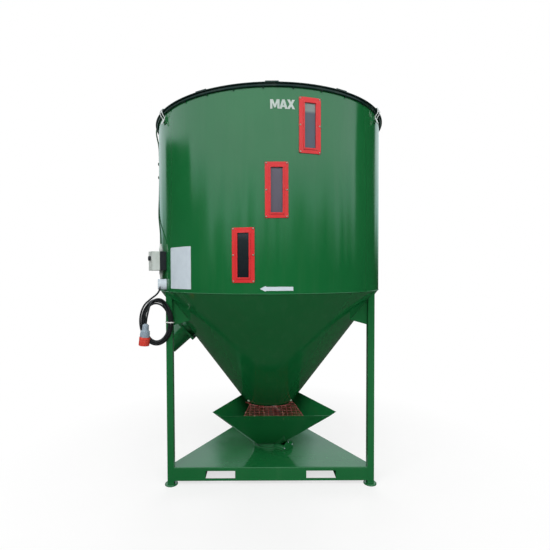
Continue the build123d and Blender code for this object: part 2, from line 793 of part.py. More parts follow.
# Latches: a body on the wall and a wire bail hooked over a catch on the edge of the lid
latch_top_z = rim_z - latch_top_below_rim
latch_foot_z = latch_top_z - latch_plate_height
latch_middle_z = (latch_top_z + latch_foot_z) / 2
catch_top_z = lid_top_z + latch_catch_height
with BuildPart() as latches:
    for azimuth in latch_azimuths:
        with BuildSketch(outward_plane(azimuth, bin_radius, latch_middle_z)):
            Rectangle(latch_plate_width, latch_plate_height)
        extrude(amount=sheet)
        with BuildSketch(outward_plane(azimuth, bin_radius, latch_middle_z)):
            Rectangle(latch_bail_width, latch_plate_height / 2)
        extrude(amount=latch_bail_radius + latch_wire / 2 - bin_radius)
        wire_z = (latch_middle_z + catch_top_z) / 2
        with BuildSketch(outward_plane(azimuth, latch_bail_radius - latch_wire / 2, wire_z)):
            for side in (-1, 1):
                with Locations((side * (latch_bail_width - latch_wire) / 2, 0)):
                    Rectangle(latch_wire, catch_top_z - latch_middle_z)
        extrude(amount=latch_wire)
        bar_radius = lid_radius - latch_catch_depth
        with BuildSketch(outward_plane(azimuth, bar_radius, catch_top_z - latch_wire / 2)):
            Rectangle(latch_bail_width, latch_wire)
        extrude(amount=latch_bail_radius + latch_wire / 2 - bar_radius)
        with BuildSketch(outward_plane(azimuth, bar_radius, (lid_top_z + catch_top_z) / 2)):
            Rectangle(latch_catch_width, latch_catch_height)
        extrude(amount=latch_catch_depth)
save(latches.part, "lid_latches")

# Switch box: a dark base on the wall, a pale cover and a knob
base_plane = outward_plane(switch_azimuth, bin_radius, switch_z)
cover_plane = base_plane.offset(switch_base_depth)
with BuildPart() as switch_base:
    with BuildSketch(base_plane):
        RectangleRounded(switch_width, switch_height, switch_corner)
    extrude(amount=switch_base_depth)
save(switch_base.part, "switch_base")

with BuildPart() as switch_cover:
    with BuildSketch(cover_plane):
        RectangleRounded(switch_width, switch_height, switch_corner)
    extrude(amount=switch_cover_depth)
save(switch_cover.part, "switch_cover")

with BuildPart() as switch_knob:
    with BuildSketch(cover_plane.offset(switch_cover_depth)):
        with Locations((0, knob_rise)):
            Circle(knob_radius)
    extrude(amount=knob_proud)
save(switch_knob.part, "switch_knob")

# Glands above and below the box, for the motor cable and the supply cable
gland_x, gland_y = polar(switch_azimuth, bin_radius + gland_reach)
switch_top_z = switch_z + switch_height / 2
switch_foot_z = switch_z - switch_height / 2
gland_top_z = switch_top_z + gland_length
gland_foot_z = switch_foot_z - gland_length
with BuildPart() as cable_glands:
    for foot_z in (switch_top_z, gland_foot_z):
        with BuildSketch(Plane.XY.offset(foot_z)):
            with Locations((gland_x, gland_y)):
                RegularPolygon(radius=gland_radius, side_count=6)
        extrude(amount=gland_length)
save(cable_glands.part, "cable_glands")


def sweep_cable(points, radius, name):
    """Round cable along straight runs joined by arcs as large as the runs allow."""
    radii = []
    for before, here, after in zip(points, points[1:], points[2:]):
        run_in = Vector(*here) - Vector(*before)
        run_out = Vector(*after) - Vector(*here)
        half_turn = radians(run_in.get_angle(run_out)) / 2
        radii.append(0.45 * min(run_in.length, run_out.length) / tan(half_turn))
    with BuildPart() as cable:
        with BuildLine() as route:
            FilletPolyline(*points, radius=radii)
        with BuildSketch(Plane(route.line @ 0, z_dir=route.line % 0)):
            Circle(radius)
        sweep(path=route.line)
    length = sum(edge.length for edge in route.edges())
    share = cable.part.volume / (pi * radius**2 * length)
    print(name, "length", round(length), "radii", [round(r) for r in radii])
    print(name, "volume over section times length", round(share, 4))
    save(cable.part, name)


# Motor cable: up from the top gland, along the wall, over the rim and across the lid
motor_cable_rows = (
    (-61.0, gland_reach, gland_top_z),
    (-61.0, gland_reach, gland_top_z + 29.5),
    (-62.5, 18.0, gland_top_z + 67.5),
    (-65.5, 13.0, gland_top_z + 113.5),
    (-70.0, 8.5, gland_top_z + 165.5),
    (-75.0, 7.5, gland_top_z + 221.5),
    (-79.5, 7.0, gland_top_z + 287.5),
    (-82.5, 6.7, gland_top_z + 365.5),
    (-84.0, 6.5, rim_z - 360.0),
    (-84.6, 6.5, rim_z - 265.0),
    (-84.4, 6.8, rim_z - 175.0),
    (-84.8, 12.0, rim_z - 100.0),
    (-85.0, 28.0, rim_z - 45.0),
    (-85.0, 39.0, rim_z),
    (-85.5, 31.0, rim_z + 35.0),
    (-86.0, 0.0, rim_z + 53.0),
    (-90.0, -45.0, rim_z + 51.0),
    (-96.0, -110.0, rim_z + 36.0),
    (-103.0, -185.0, rim_z + 17.0),
    (-110.0, -265.0, rim_z + 10.0),
)
terminal_foot_z = terminal_z - terminal_height / 2
terminal_entry_x = 22.0 - terminal_reach
motor_cable_points = [
    (*polar(azimuth, bin_radius + proud), z) for azimuth, proud, z in motor_cable_rows
] + [
    (terminal_entry_x - 257.0, motor_y - 67.0, rim_z + 12.0),
    (terminal_entry_x - 182.0, motor_y - 37.0, rim_z + 33.0),
    (terminal_entry_x - 110.0, motor_y - 14.0, rim_z + 72.0),
    (terminal_entry_x - 50.0, motor_y - 4.0, rim_z + 127.0),
    (terminal_entry_x - 12.0, motor_y, rim_z + 184.0),
    (terminal_entry_x, motor_y, terminal_foot_z - 8.0),
    (terminal_entry_x, motor_y, terminal_foot_z),
]
sweep_cable(motor_cable_points, motor_cable_radius, "motor_cable")

# Clips that hold the motor cable on the wall
clip_rows = ((-84.3, 6.5, rim_z - 312.5), (-84.5, 6.6, rim_z - 220.0))
with BuildPart() as cable_clips:
    for azimuth, proud, height in clip_rows:
        with BuildSketch(outward_plane(azimuth, bin_radius, height)):
            Rectangle(5 * motor_cable_radius, clip_width)
        extrude(amount=proud + motor_cable_radius + clip_play + clip_wall)
        with BuildSketch(Plane.XY.offset(height - clip_width)):
            with Locations(polar(azimuth, bin_radius + proud)):
                Circle(motor_cable_radius + clip_play)
        extrude(amount=2 * clip_width, mode=Mode.SUBTRACT)
    with BuildSketch(Plane.XY.offset(seam_z)):
        Circle(bin_radius)
    extrude(amount=rim_z - seam_z, mode=Mode.SUBTRACT)
save(cable_clips.part, "cable_clips")

# Supply cable: down from the bottom gland to the coil
coil_y = leg_y - leg_size / 2 - seat_gap - coil_thickness / 2
coil_front_y = coil_y - coil_thickness / 2
coil_x = -leg_x - coil_reach
coil_z = seam_z - coil_drop
supply_points = [
    (gland_x, gland_y, gland_foot_z),
    (gland_x, gland_y, gland_foot_z - 29.5),
    (gland_x - 2.5, gland_y - 6.0, gland_foot_z - 69.5),
    (gland_x - 8.0, gland_y - 14.0, gland_foot_z - 106.5),
    (gland_x - 18.0, coil_y, coil_z + 150.0),
]
sweep_cable(supply_points, supply_cable_radius, "supply_cable")

with BuildPart() as cable_coil:
    with BuildSketch(Plane.XZ.offset(-coil_y)):
        with Locations((coil_x, coil_z)):
            Ellipse(coil_half_width, coil_half_height)
            Ellipse(coil_half_width - coil_bundle, coil_half_height - coil_bundle, mode=Mode.SUBTRACT)
    extrude(amount=coil_thickness / 2, both=True)
save(cable_coil.part, "cable_coil")

# Plug lead: from the front of the coil down into the plug
plug_top = (coil_x + plug_shift[0], coil_y + plug_shift[1], coil_z + plug_shift[2])
plug_lead_points = [
    (coil_x - 14.0, coil_front_y, coil_z + 131.0),
    (coil_x - 14.5, coil_front_y - 14.0, coil_z + 126.0),
    (coil_x - 17.0, coil_front_y - 26.0, coil_z + 107.0),
    (coil_x - 23.0, coil_front_y - 32.7, coil_z + 77.0),
    (coil_x - 33.0, coil_front_y - 38.7, coil_z + 39.0),
    plug_top,
]
sweep_cable(plug_lead_points, supply_cable_radius, "plug_lead")

lean = radians(plug_lean)
plug_plane = Plane(origin=plug_top, x_dir=(0, 1, 0), z_dir=(-sin(lean), 0, -cos(lean)))
with BuildPart() as plug_body:
    with BuildSketch(plug_plane):
        Circle(plug_neck_radius)
    with BuildSketch(plug_plane.offset(plug_body_length * 0.45)):
        Circle(plug_radius - 3.0)
    loft()
    with BuildSketch(plug_plane.offset(plug_body_length * 0.45)):
        Circle(plug_radius - 3.0)
    extrude(amount=plug_body_length * 0.55)
save(plug_body.part, "plug_body")

with BuildPart() as plug_collar:
    with BuildSketch(plug_plane.offset(plug_body_length)):
        Circle(plug_radius)
    extrude(amount=plug_collar_length)
    with BuildSketch(plug_plane.offset(plug_body_length + 2 * plug_collar_wall)):
        Circle(plug_radius - plug_collar_wall)
    extrude(amount=plug_collar_length, mode=Mode.SUBTRACT)
save(plug_collar.part, "plug_collar")
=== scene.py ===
"""Looks of the vertical feed mixer: camera, cable, materials, small parts, light and floor."""

import math
import random

import bmesh
import bpy
from mathutils import Matrix, Vector


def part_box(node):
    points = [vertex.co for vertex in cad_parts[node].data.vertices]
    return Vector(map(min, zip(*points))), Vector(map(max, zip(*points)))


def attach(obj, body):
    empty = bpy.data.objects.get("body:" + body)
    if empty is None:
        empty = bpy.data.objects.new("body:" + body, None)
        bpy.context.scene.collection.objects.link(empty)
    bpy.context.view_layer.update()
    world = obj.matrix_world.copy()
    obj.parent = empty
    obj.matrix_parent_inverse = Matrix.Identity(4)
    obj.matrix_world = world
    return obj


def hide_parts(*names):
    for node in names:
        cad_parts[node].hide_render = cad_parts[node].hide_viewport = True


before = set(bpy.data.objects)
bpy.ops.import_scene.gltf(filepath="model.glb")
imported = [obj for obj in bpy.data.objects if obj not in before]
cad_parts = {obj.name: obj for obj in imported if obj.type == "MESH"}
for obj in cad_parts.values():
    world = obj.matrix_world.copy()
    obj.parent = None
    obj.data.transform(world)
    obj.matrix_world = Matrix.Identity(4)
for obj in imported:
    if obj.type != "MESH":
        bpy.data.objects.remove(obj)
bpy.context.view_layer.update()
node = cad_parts
scene = bpy.context.scene
random.seed(7)

# Driving sizes in millimetres, and azimuths in degrees from the front towards +X

BIN_RADIUS = 750.0
SEAM_Z = 1215.0
RIM_Z = 2300.0
LID_TOP_Z = 2304.0
BELT_GUARD_TOP_Z = 2434.0
MOTOR_TOP_Z = 2690.0
MOTOR_Y = 270.0
TERMINAL_Z = 2562.0
BOOT_RADIUS = 96.5
WALL_GAP = 0.4
STRIP = 8.0
WINDOWS = ((-11.7, 1420.0), (1.8, 1757.0), (15.5, 2096.0))
WINDOW_SCREW_ACROSS = 54.0
WINDOW_SCREW_UP = 138.0
WINDOW_FACE_RADIUS = 753.8
FILL_MARK = (4.3, 2198.0)
ARROW = (1.7, 1243.0)
PLATE = (-44.7, 1357.0)
LATCH_AZIMUTHS = (-57.0, 57.0, 180.0)
LID_RIBS = 12
RIM_BOLTS = 30
RIM_BOLT_RADIUS = 755.4
RIM_FOOT_Z = 2286.0
GLAND_X = -673.5
GLAND_Y = -373.3
GLAND_FOOT_Z = 1319.5
SWITCH_FOOT_Z = 1343.5
SWITCH_TOP_Z = 1460.5
COIL_X = -703.0
COIL_Z = 1031.0
PLUG_TOP = (-750.0, -447.0, 1024.0)
PLUG_LEAN = 6.0
TIE_LOW_Z = 1021.8
TIE_HIGH_Z = 1028.6
GUARD_Z = 425.0
GUARD_X = 20.0
GUARD_REAR_Y = -100.0
GUARD_DEPTH = 340.0
GUARD_STEP = 30.0
GUARD_HOOP_RADIUS = 186.0
SUPPLY_RADIUS = 5.5
MOTOR_CABLE_RADIUS = 4.5


# Places: millimetres in, metres out

def at(x, y, z):
    return Vector((x * 0.001, y * 0.001, z * 0.001))


def polar(azimuth, radius, z):
    """Point at an azimuth counted from the front towards +X."""
    angle = math.radians(azimuth)
    return at(radius * math.sin(angle), -radius * math.cos(angle), z)


def outward(azimuth, radius, z):
    """Matrix whose X points right along the wall, Y up and Z out from the axis."""
    angle = math.radians(azimuth)
    right = Vector((math.cos(angle), math.sin(angle), 0))
    out = Vector((math.sin(angle), -math.cos(angle), 0))
    matrix = Matrix((right, Vector((0, 0, 1)), out)).transposed().to_4x4()
    matrix.translation = polar(azimuth, radius, z)
    return matrix


def facing(place, direction, up=(0, 0, 1)):
    """Matrix at a place whose Z points along a direction."""
    z_axis = Vector(direction).normalized()
    up = Vector(up)
    if abs(z_axis.dot(up.normalized())) > 0.99:
        up = Vector((0, 1, 0))
    x_axis = up.cross(z_axis).normalized()
    matrix = Matrix((x_axis, z_axis.cross(x_axis), z_axis)).transposed().to_4x4()
    matrix.translation = place
    return matrix


# Camera, from the rim ellipse, the seam and the base in the photograph

camera_data = bpy.data.cameras.new("camera")
camera_data.sensor_width = 36.0
camera_data.lens = 25.49
camera_data.shift_x = 0.0309
camera_data.shift_y = 0.0155
camera = bpy.data.objects.new("camera", camera_data)
scene.collection.objects.link(camera)
turn = Matrix.Rotation(math.radians(88.54), 4, "X") @ Matrix.Rotation(-0.0039, 4, "Z")
camera.matrix_world = Matrix.Translation(at(-75, -2783, 1323)) @ turn
scene.camera = camera


# Materials

def start(name):
    material = bpy.data.materials.new(name)
    material.use_nodes = True
    tree = material.node_tree
    return material, tree.nodes, tree.links, tree.nodes["Principled BSDF"]


def noise(nodes, links, scale, detail=3.0, stretch=(1, 1, 1), roughness=0.5):
    place = nodes.new("ShaderNodeTexCoord")
    mapping = nodes.new("ShaderNodeMapping")
    mapping.inputs["Scale"].default_value = stretch
    links.new(place.outputs["Object"], mapping.inputs["Vector"])
    texture = nodes.new("ShaderNodeTexNoise")
    texture.inputs["Scale"].default_value = scale
    texture.inputs["Detail"].default_value = detail
    texture.inputs["Roughness"].default_value = roughness
    links.new(mapping.outputs["Vector"], texture.inputs["Vector"])
    return texture.outputs["Fac"]


def ramp(nodes, links, value, stops):
    colours = nodes.new("ShaderNodeValToRGB")
    items = colours.color_ramp.elements
    while len(items) < len(stops):
        items.new(0.5)
    for item, (place, colour) in zip(items, stops):
        item.position = place
        item.color = (*colour, 1)
    links.new(value, colours.inputs["Fac"])
    return colours.outputs["Color"]


def spread(nodes, links, value, low, high, out_low, out_high):
    mapped = nodes.new("ShaderNodeMapRange")
    mapped.inputs["From Min"].default_value = low
    mapped.inputs["From Max"].default_value = high
    mapped.inputs["To Min"].default_value = out_low
    mapped.inputs["To Max"].default_value = out_high
    links.new(value, mapped.inputs["Value"])
    return mapped.outputs["Result"]


def times(nodes, links, a, b):
    product = nodes.new("ShaderNodeMath")
    product.operation = "MULTIPLY"
    links.new(a, product.inputs[0])
    if isinstance(b, float):
        product.inputs[1].default_value = b
    else:
        links.new(b, product.inputs[1])
    return product.outputs["Value"]


def maths(nodes, links, operation, a, b):
    step = nodes.new("ShaderNodeMath")
    step.operation = operation
    for value, socket in ((a, step.inputs[0]), (b, step.inputs[1])):
        if isinstance(value, float):
            socket.default_value = value
        else:
            links.new(value, socket)
    return step.outputs["Value"]


def band(nodes, links, value, low, high, soft):
    """Mask that is 1 between two values, with soft ends."""
    rising = spread(nodes, links, value, low - soft, low + soft, 0.0, 1.0)
    falling = spread(nodes, links, value, high - soft, high + soft, 1.0, 0.0)
    return maths(nodes, links, "MULTIPLY", rising, falling)


def blend_colours(nodes, links, share, a, b):
    mix = nodes.new("ShaderNodeMix")
    mix.data_type = "RGBA"
    links.new(share, mix.inputs["Factor"])
    for value, socket in ((a, mix.inputs[6]), (b, mix.inputs[7])):
        if isinstance(value, tuple):
            socket.default_value = (*value, 1)
        else:
            links.new(value, socket)
    return mix.outputs[2]


def bump(nodes, links, height, strength, distance, normal=None):
    bumps = nodes.new("ShaderNodeBump")
    bumps.inputs["Strength"].default_value = strength
    bumps.inputs["Distance"].default_value = distance
    links.new(height, bumps.inputs["Height"])
    if normal is not None:
        links.new(normal, bumps.inputs["Normal"])
    return bumps.outputs["Normal"]


def edges(nodes, links, radius):
    """Normal with rounded edges, and a mask that is 1 on the edges."""
    bevel = nodes.new("ShaderNodeBevel")
    bevel.samples = 4
    bevel.inputs["Radius"].default_value = radius
    geometry = nodes.new("ShaderNodeNewGeometry")
    dot = nodes.new("ShaderNodeVectorMath")
    dot.operation = "DOT_PRODUCT"
    links.new(bevel.outputs["Normal"], dot.inputs[0])
    links.new(geometry.outputs["Normal"], dot.inputs[1])
    mask = spread(nodes, links, dot.outputs["Value"], 0.99, 0.85, 0.0, 1.0)
    return bevel.outputs["Normal"], mask


def enamel(name, deep, plain, pale, roughness, specular, chip_and_sheen, waves=0.5, dust=0.12, chips_and_sheen=0.5):
    """Sprayed enamel on sheet steel: clouds, dust streaks, orange peel, chipped edges; a pale edge colour,
    as on the guard, is a painted highlight along the edges.
    """
    material, nodes, links, shader = start(name)
    clouds = noise(nodes, links, 1.3, 5.0)
    colour = ramp(nodes, links, clouds, ((0.3, deep), (0.5, plain), (0.72, pale)))
    streaks = noise(nodes, links, 9.0, 4.0, (2.2, 2.2, 0.22))
    dusty = spread(nodes, links, streaks, 0.5, 0.8, 0.0, dust)
    colour = blend_colours(nodes, links, dusty, colour, (0.24, 0.27, 0.2))
    rounded, mask = edges(nodes, links, 0.0022)
    chip_and_sheen_spots = spread(nodes, links, noise(nodes, links, 60.0, 4.0), 0.5, 0.62, 0.0, chips_and_sheen)
    worn_and_sheen = times(nodes, links, mask, chip_and_sheen_spots)
    colour = blend_colours(nodes, links, worn_and_sheen, colour, chip_and_sheen)
    links.new(colour, shader.inputs["Base Color"])
    smears = noise(nodes, links, 6.0, 5.0, (1, 1, 0.5))
    links.new(
        spread(nodes, links, smears, 0.3, 0.75, roughness * 0.7, roughness * 1.5),
        shader.inputs["Roughness"],
    )
    shader.inputs["Specular IOR Level"].default_value = specular
    wave = bump(nodes, links, noise(nodes, links, 2.4, 1.0), waves, 0.006, rounded)
    peel = bump(nodes, links, noise(nodes, links, 420.0, 2.0), 0.12, 0.0003, wave)
    links.new(peel, shader.inputs["Normal"])
    return material


def metal(name, dark, bright, roughness, scale=30.0, stretch=(1, 1, 1)):
    """Plated or worn steel with cloudy brightness and fine brush marks."""
    material, nodes, links, shader = start(name)
    clouds = noise(nodes, links, scale, 5.0, stretch)
    colour = ramp(nodes, links, clouds, ((0.35, dark), (0.65, bright)))
    links.new(colour, shader.inputs["Base Color"])
    links.new(
        spread(nodes, links, clouds, 0.3, 0.7, roughness * 1.4, roughness * 0.7),
        shader.inputs["Roughness"],
    )
    shader.inputs["Metallic"].default_value = 1.0
    rounded = edges(nodes, links, 0.0008)[0]
    links.new(
        bump(nodes, links, noise(nodes, links, 500.0, 2.0, stretch), 0.12, 0.0002, rounded),
        shader.inputs["Normal"],
    )
    return material


def moulded(name, dark, pale, roughness, grain=0.2, scale=900.0, specular=0.5):
    """Moulded plastic or rubber with a fine surface grain and slight soiling."""
    material, nodes, links, shader = start(name)
    clouds = noise(nodes, links, 22.0, 4.0)
    colour = ramp(nodes, links, clouds, ((0.3, dark), (0.7, pale)))
    links.new(colour, shader.inputs["Base Color"])
    soiling = noise(nodes, links, 45.0, 3.0)
    links.new(
        spread(nodes, links, soiling, 0.3, 0.7, roughness * 0.8, roughness * 1.2),
        shader.inputs["Roughness"],
    )
    shader.inputs["Specular IOR Level"].default_value = specular
    rounded = edges(nodes, links, 0.0012)[0]
    links.new(
        bump(nodes, links, noise(nodes, links, scale, 2.0), grain, 0.0003, rounded),
        shader.inputs["Normal"],
    )
    return material


def pane_material(name):
    """Clear plastic sheet with a film of meal dust inside, thicker on the upper panes, and a pale band at
    the top painted in as light from above.
    """
    material, nodes, links, shader = start(name)
    place = nodes.new("ShaderNodeTexCoord")
    parts = nodes.new("ShaderNodeSeparateXYZ")
    links.new(place.outputs["Object"], parts.inputs[0])
    height = spread(nodes, links, parts.outputs["Z"], 1.3, 2.3, 0.0, 1.0)
    # Colour by height: dark low, dusty in the middle, and a pale top band that is painted light from above
    dust_and_painted_light = ramp(
        nodes, links, height,
        ((0.2, (0.008, 0.01, 0.016)), (0.32, (0.2, 0.17, 0.23)), (0.55, (0.21, 0.18, 0.24)),
         (0.7, (0.13, 0.16, 0.21)), (0.86, (0.14, 0.17, 0.21)), (0.875, (0.36, 0.42, 0.4))),
    )
    cloudy = spread(nodes, links, noise(nodes, links, 9.0, 3.0, (1, 1, 0.5)), 0.3, 0.7, 0.0, 0.22)
    links.new(blend_colours(nodes, links, cloudy, dust_and_painted_light, (0.07, 0.08, 0.1)), shader.inputs["Base Color"])
    shader.inputs["Roughness"].default_value = 0.07
    shader.inputs["Transmission Weight"].default_value = 0.45
    shader.inputs["IOR"].default_value = 1.49
    links.new(bump(nodes, links, noise(nodes, links, 3.0, 1.0), 0.2, 0.002), shader.inputs["Normal"])
    return material


GREENS = ((0.005, 0.118, 0.029), (0.008, 0.134, 0.035), (0.012, 0.148, 0.042))
GREEN_CHIP = (0.05, 0.1, 0.055)
green = enamel("green_enamel", *GREENS, 0.11, 1.0, GREEN_CHIP, dust=0.03)
plate_green = enamel("plate_enamel", *GREENS, 0.13, 1.0, GREEN_CHIP, waves=1.0, dust=0.04)
green_inside = enamel(
    "green_enamel_worn", (0.006, 0.07, 0.018), (0.01, 0.09, 0.026), (0.05, 0.12, 0.05),
    0.28, 0.35, (0.2, 0.22, 0.2), dust=0.3, chips_and_sheen=0.9,
)
# Near-black green for the lid, its rim flange and bolts: painted shade, standing for the shadow under the
# edge of the lid
rim_shade_green = enamel(
    "rim_enamel_painted_shade", (0.0025, 0.014, 0.011), (0.004, 0.02, 0.016), (0.007, 0.03, 0.023),
    0.2, 0.4, (0.08, 0.12, 0.1), waves=0.2,
)
red = enamel(
    "red_enamel", (0.56, 0.022, 0.026), (0.65, 0.03, 0.034), (0.7, 0.045, 0.045),
    0.18, 0.4, (0.75, 0.3, 0.28), waves=0.15, dust=0.08,
)
# Guard: dirty dark red, and its pale salmon edge colour is painted highlight on the wires
guard_red = enamel(
    "guard_enamel_painted_highlights", (0.13, 0.018, 0.014), (0.2, 0.035, 0.028), (0.34, 0.1, 0.07),
    0.3, 0.45, (0.75, 0.42, 0.34), waves=0.1, dust=0.15, chips_and_sheen=1.0,
)
over_sprayed = enamel(
    "over_sprayed_cable", (0.004, 0.05, 0.014), (0.006, 0.07, 0.02), (0.01, 0.085, 0.026),
    0.35, 0.3, (0.02, 0.02, 0.022), waves=0.05, dust=0.05,
)
motor_grey = enamel(
    "motor_enamel", (0.12, 0.14, 0.155), (0.16, 0.18, 0.2), (0.21, 0.23, 0.25),
    0.32, 0.45, (0.3, 0.3, 0.3), waves=0.1,
)
zinc = metal("bright_zinc", (0.52, 0.53, 0.55), (0.82, 0.83, 0.85), 0.2)
# Pale grey non-metal for the latch wires: partly the zinc's colour, partly a painted glint standing for
# chrome
wire_zinc_and_glint = moulded("wire_zinc_and_glint", (0.62, 0.65, 0.65), (0.76, 0.79, 0.79), 0.25, 0.05, 300.0, 1.0)
gate_zinc = metal("gate_zinc", (0.42, 0.43, 0.44), (0.7, 0.71, 0.72), 0.32, 12.0)
steel = metal("feed_polished_steel", (0.14, 0.13, 0.11), (0.36, 0.34, 0.31), 0.42, 9.0, (1, 1, 0.3))
pale_screw = metal("screw_zinc", (0.7, 0.64, 0.52), (0.9, 0.84, 0.72), 0.36, 200.0)
black = moulded("black_plastic", (0.011, 0.012, 0.016), (0.02, 0.021, 0.027), 0.42)
pale_cover = moulded("pale_grey_plastic", (0.55, 0.6, 0.56), (0.64, 0.68, 0.65), 0.38, 0.12)
gland_grey = moulded("gland_plastic", (0.42, 0.45, 0.44), (0.56, 0.59, 0.57), 0.4, 0.12)
rubber = moulded("cable_sheath", (0.009, 0.0095, 0.011), (0.019, 0.02, 0.023), 0.4, 0.16, 700.0)
plug_grey = moulded("plug_grey_plastic", (0.24, 0.31, 0.37), (0.32, 0.39, 0.45), 0.34, 0.1)
plug_red = moulded("plug_red_plastic", (0.6, 0.045, 0.03), (0.72, 0.07, 0.045), 0.3, 0.1)
white_tie = moulded("white_nylon", (0.72, 0.73, 0.7), (0.84, 0.84, 0.82), 0.4, 0.08)
vinyl = moulded("white_vinyl", (0.56, 0.64, 0.7), (0.62, 0.7, 0.76), 0.36, 0.05, 300.0, 0.3)
mark_paint = moulded("mark_vinyl", (0.42, 0.5, 0.46), (0.52, 0.58, 0.54), 0.32, 0.05, 300.0, 0.3)
pane = pane_material("clear_pane")

# The lid and the rim ring take the near-black green of painted shade
node_material = {
    "base_plate": plate_green, "rim_ring": rim_shade_green, "window_frame_low": red,
    "window_frame_middle": red, "window_frame_high": red, "window_panes": pane,
    "hopper_guard": guard_red,
    "lid_latches": zinc, "auger": steel, "gate_blade": gate_zinc, "motor": motor_grey,
    "switch_base": black, "switch_cover": pale_cover, "switch_knob": black,
    "cable_glands": gland_grey, "motor_cable": over_sprayed, "supply_cable": rubber,
    "cable_coil": rubber, "plug_lead": rubber, "cable_clips": over_sprayed, "plug_body": plug_grey,
    "plug_collar": plug_red, "lid": rim_shade_green, "lift_tube": green_inside,
    "tube_struts": green_inside,
}
for name, thing in node.items():
    material = node_material.get(name, green)
    if not thing.material_slots:
        thing.data.materials.append(material)
    for place in thing.material_slots:
        place.material = material


# Mesh helpers

def finish_piece(name, mesh, body, material, smooth=40.0):
    """Object from a bmesh, riding on a body."""
    bmesh.ops.recalc_face_normals(mesh, faces=mesh.faces)
    data = bpy.data.meshes.new(name)
    mesh.to_mesh(data)
    mesh.free()
    piece = bpy.data.objects.new(name, data)
    scene.collection.objects.link(piece)
    data.materials.append(material)
    if smooth:
        data.shade_smooth()
        data.set_sharp_from_angle(angle=math.radians(smooth))
    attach(piece, body)
    return piece


def turned(mesh, matrix, profile, segments=24):
    """Turned shape about the matrix's Z from (radius, height) rows in millimetres."""
    rows = []
    for radius, height in profile:
        if radius == 0:
            rows.append([mesh.verts.new(matrix @ at(0, 0, height))])
            continue
        ring = []
        for step in range(segments):
            angle = 2 * math.pi * step / segments
            ring.append(
                mesh.verts.new(matrix @ at(radius * math.cos(angle), radius * math.sin(angle), height))
            )
        rows.append(ring)
    for low, high in zip(rows, rows[1:]):
        for step in range(segments):
            after = (step + 1) % segments
            if len(low) == 1 and len(high) == 1:
                continue
            if len(low) == 1:
                mesh.faces.new((low[0], high[step], high[after]))
            elif len(high) == 1:
                mesh.faces.new((low[step], low[after], high[0]))
            else:
                mesh.faces.new((low[step], low[after], high[after], high[step]))


def around(matrix, count, place, first=0.0):
    """Matrices of a place, repeated evenly round the matrix's Z from a share of a step."""
    for step in range(count):
        angle = 2 * math.pi * (step + first) / count
        yield matrix @ Matrix.Rotation(angle, 4, "Z") @ Matrix.Translation(place)


def hex_head(mesh, matrix, across, height, washer=0.0, hole=0.0):
    """Hexagon head or nut on a washer, with chamfered corners."""
    base = 0.0
    if washer:
        turned(mesh, matrix, ((0, 0), (washer, 0), (washer, 1.2), (0, 1.2)), 20)
        base = 1.2
    radius = across / math.sqrt(3)
    top = base + height
    turned(
        mesh, matrix,
        ((0, base), (radius, base), (radius, base + height * 0.82), (radius * 0.88, top), (hole, top)),
        6,
    )


def screw_head(mesh, matrix, radius, height):
    """Pan head with a shallow hexagon socket."""
    turned(
        mesh, matrix,
        ((radius, 0), (radius * 0.97, height * 0.5), (radius * 0.75, height * 0.9),
         (radius * 0.45, height), (radius * 0.4, height * 0.45), (0, height * 0.4)),
        14,
    )


def block(mesh, matrix, size, chamfer):
    """Box with rounded edges, centred on the matrix."""
    made = bmesh.ops.create_cube(mesh, size=1.0)
    scale = Matrix.Diagonal((size[0] * 0.001, size[1] * 0.001, size[2] * 0.001, 1.0))
    bmesh.ops.transform(mesh, matrix=matrix @ scale, verts=made["verts"])
    rim = {edge for vertex in made["verts"] for edge in vertex.link_edges}
    bmesh.ops.bevel(
        mesh, geom=list(rim), offset=chamfer * 0.001, segments=2, profile=0.6, affect="EDGES",
    )


def rod(mesh, points, radius, segments=10):
    """Round bar along points, with flat ends."""
    rows = []
    side = None
    for index, point in enumerate(points):
        before = points[max(index - 1, 0)]
        after = points[min(index + 1, len(points) - 1)]
        ahead = (after - before).normalized()
        if side is None:
            side = ahead.orthogonal().normalized()
        side = (side - ahead * side.dot(ahead)).normalized()
        other = ahead.cross(side)
        ring = []
        for step in range(segments):
            angle = 2 * math.pi * step / segments
            offset = (side * math.cos(angle) + other * math.sin(angle)) * radius * 0.001
            ring.append(mesh.verts.new(point + offset))
        rows.append(ring)
    for low, high in zip(rows, rows[1:]):
        for step in range(segments):
            after = (step + 1) % segments
            mesh.faces.new((low[step], low[after], high[after], high[step]))
    mesh.faces.new(rows[0])
    mesh.faces.new(rows[-1])


def cut_across(mesh, steps):
    """Cuts a flat mesh into upright strips, so that it can follow the round wall."""
    for step in range(-steps, steps + 1):
        bmesh.ops.bisect_plane(
            mesh, geom=list(mesh.verts) + list(mesh.edges) + list(mesh.faces),
            plane_co=(step * STRIP, 0, 0), plane_no=(1, 0, 0),
        )


def thicken(mesh, thickness):
    """Extrudes a flat mesh upwards."""
    made = bmesh.ops.extrude_face_region(mesh, geom=list(mesh.faces))
    for item in made["geom"]:
        if isinstance(item, bmesh.types.BMVert):
            item.co.z += thickness


def wall_sheet(name, outline, azimuth, z, thickness, material):
    """Thin sheet on the round wall, cut to an outline of (across, up) rows in millimetres."""
    mesh = bmesh.new()
    mesh.faces.new([mesh.verts.new((x, y, 0)) for x, y in outline])
    cut_across(mesh, int(max(abs(x) for x, y in outline) // STRIP))
    bmesh.ops.triangulate(mesh, faces=[face for face in mesh.faces if len(face.verts) > 4])
    thicken(mesh, thickness)
    radius = BIN_RADIUS + WALL_GAP
    for vertex in mesh.verts:
        degrees = azimuth + math.degrees(vertex.co.x / radius)
        vertex.co = polar(degrees, radius + vertex.co.z, z + vertex.co.y)
    finish_piece(name, mesh, "frame", material)


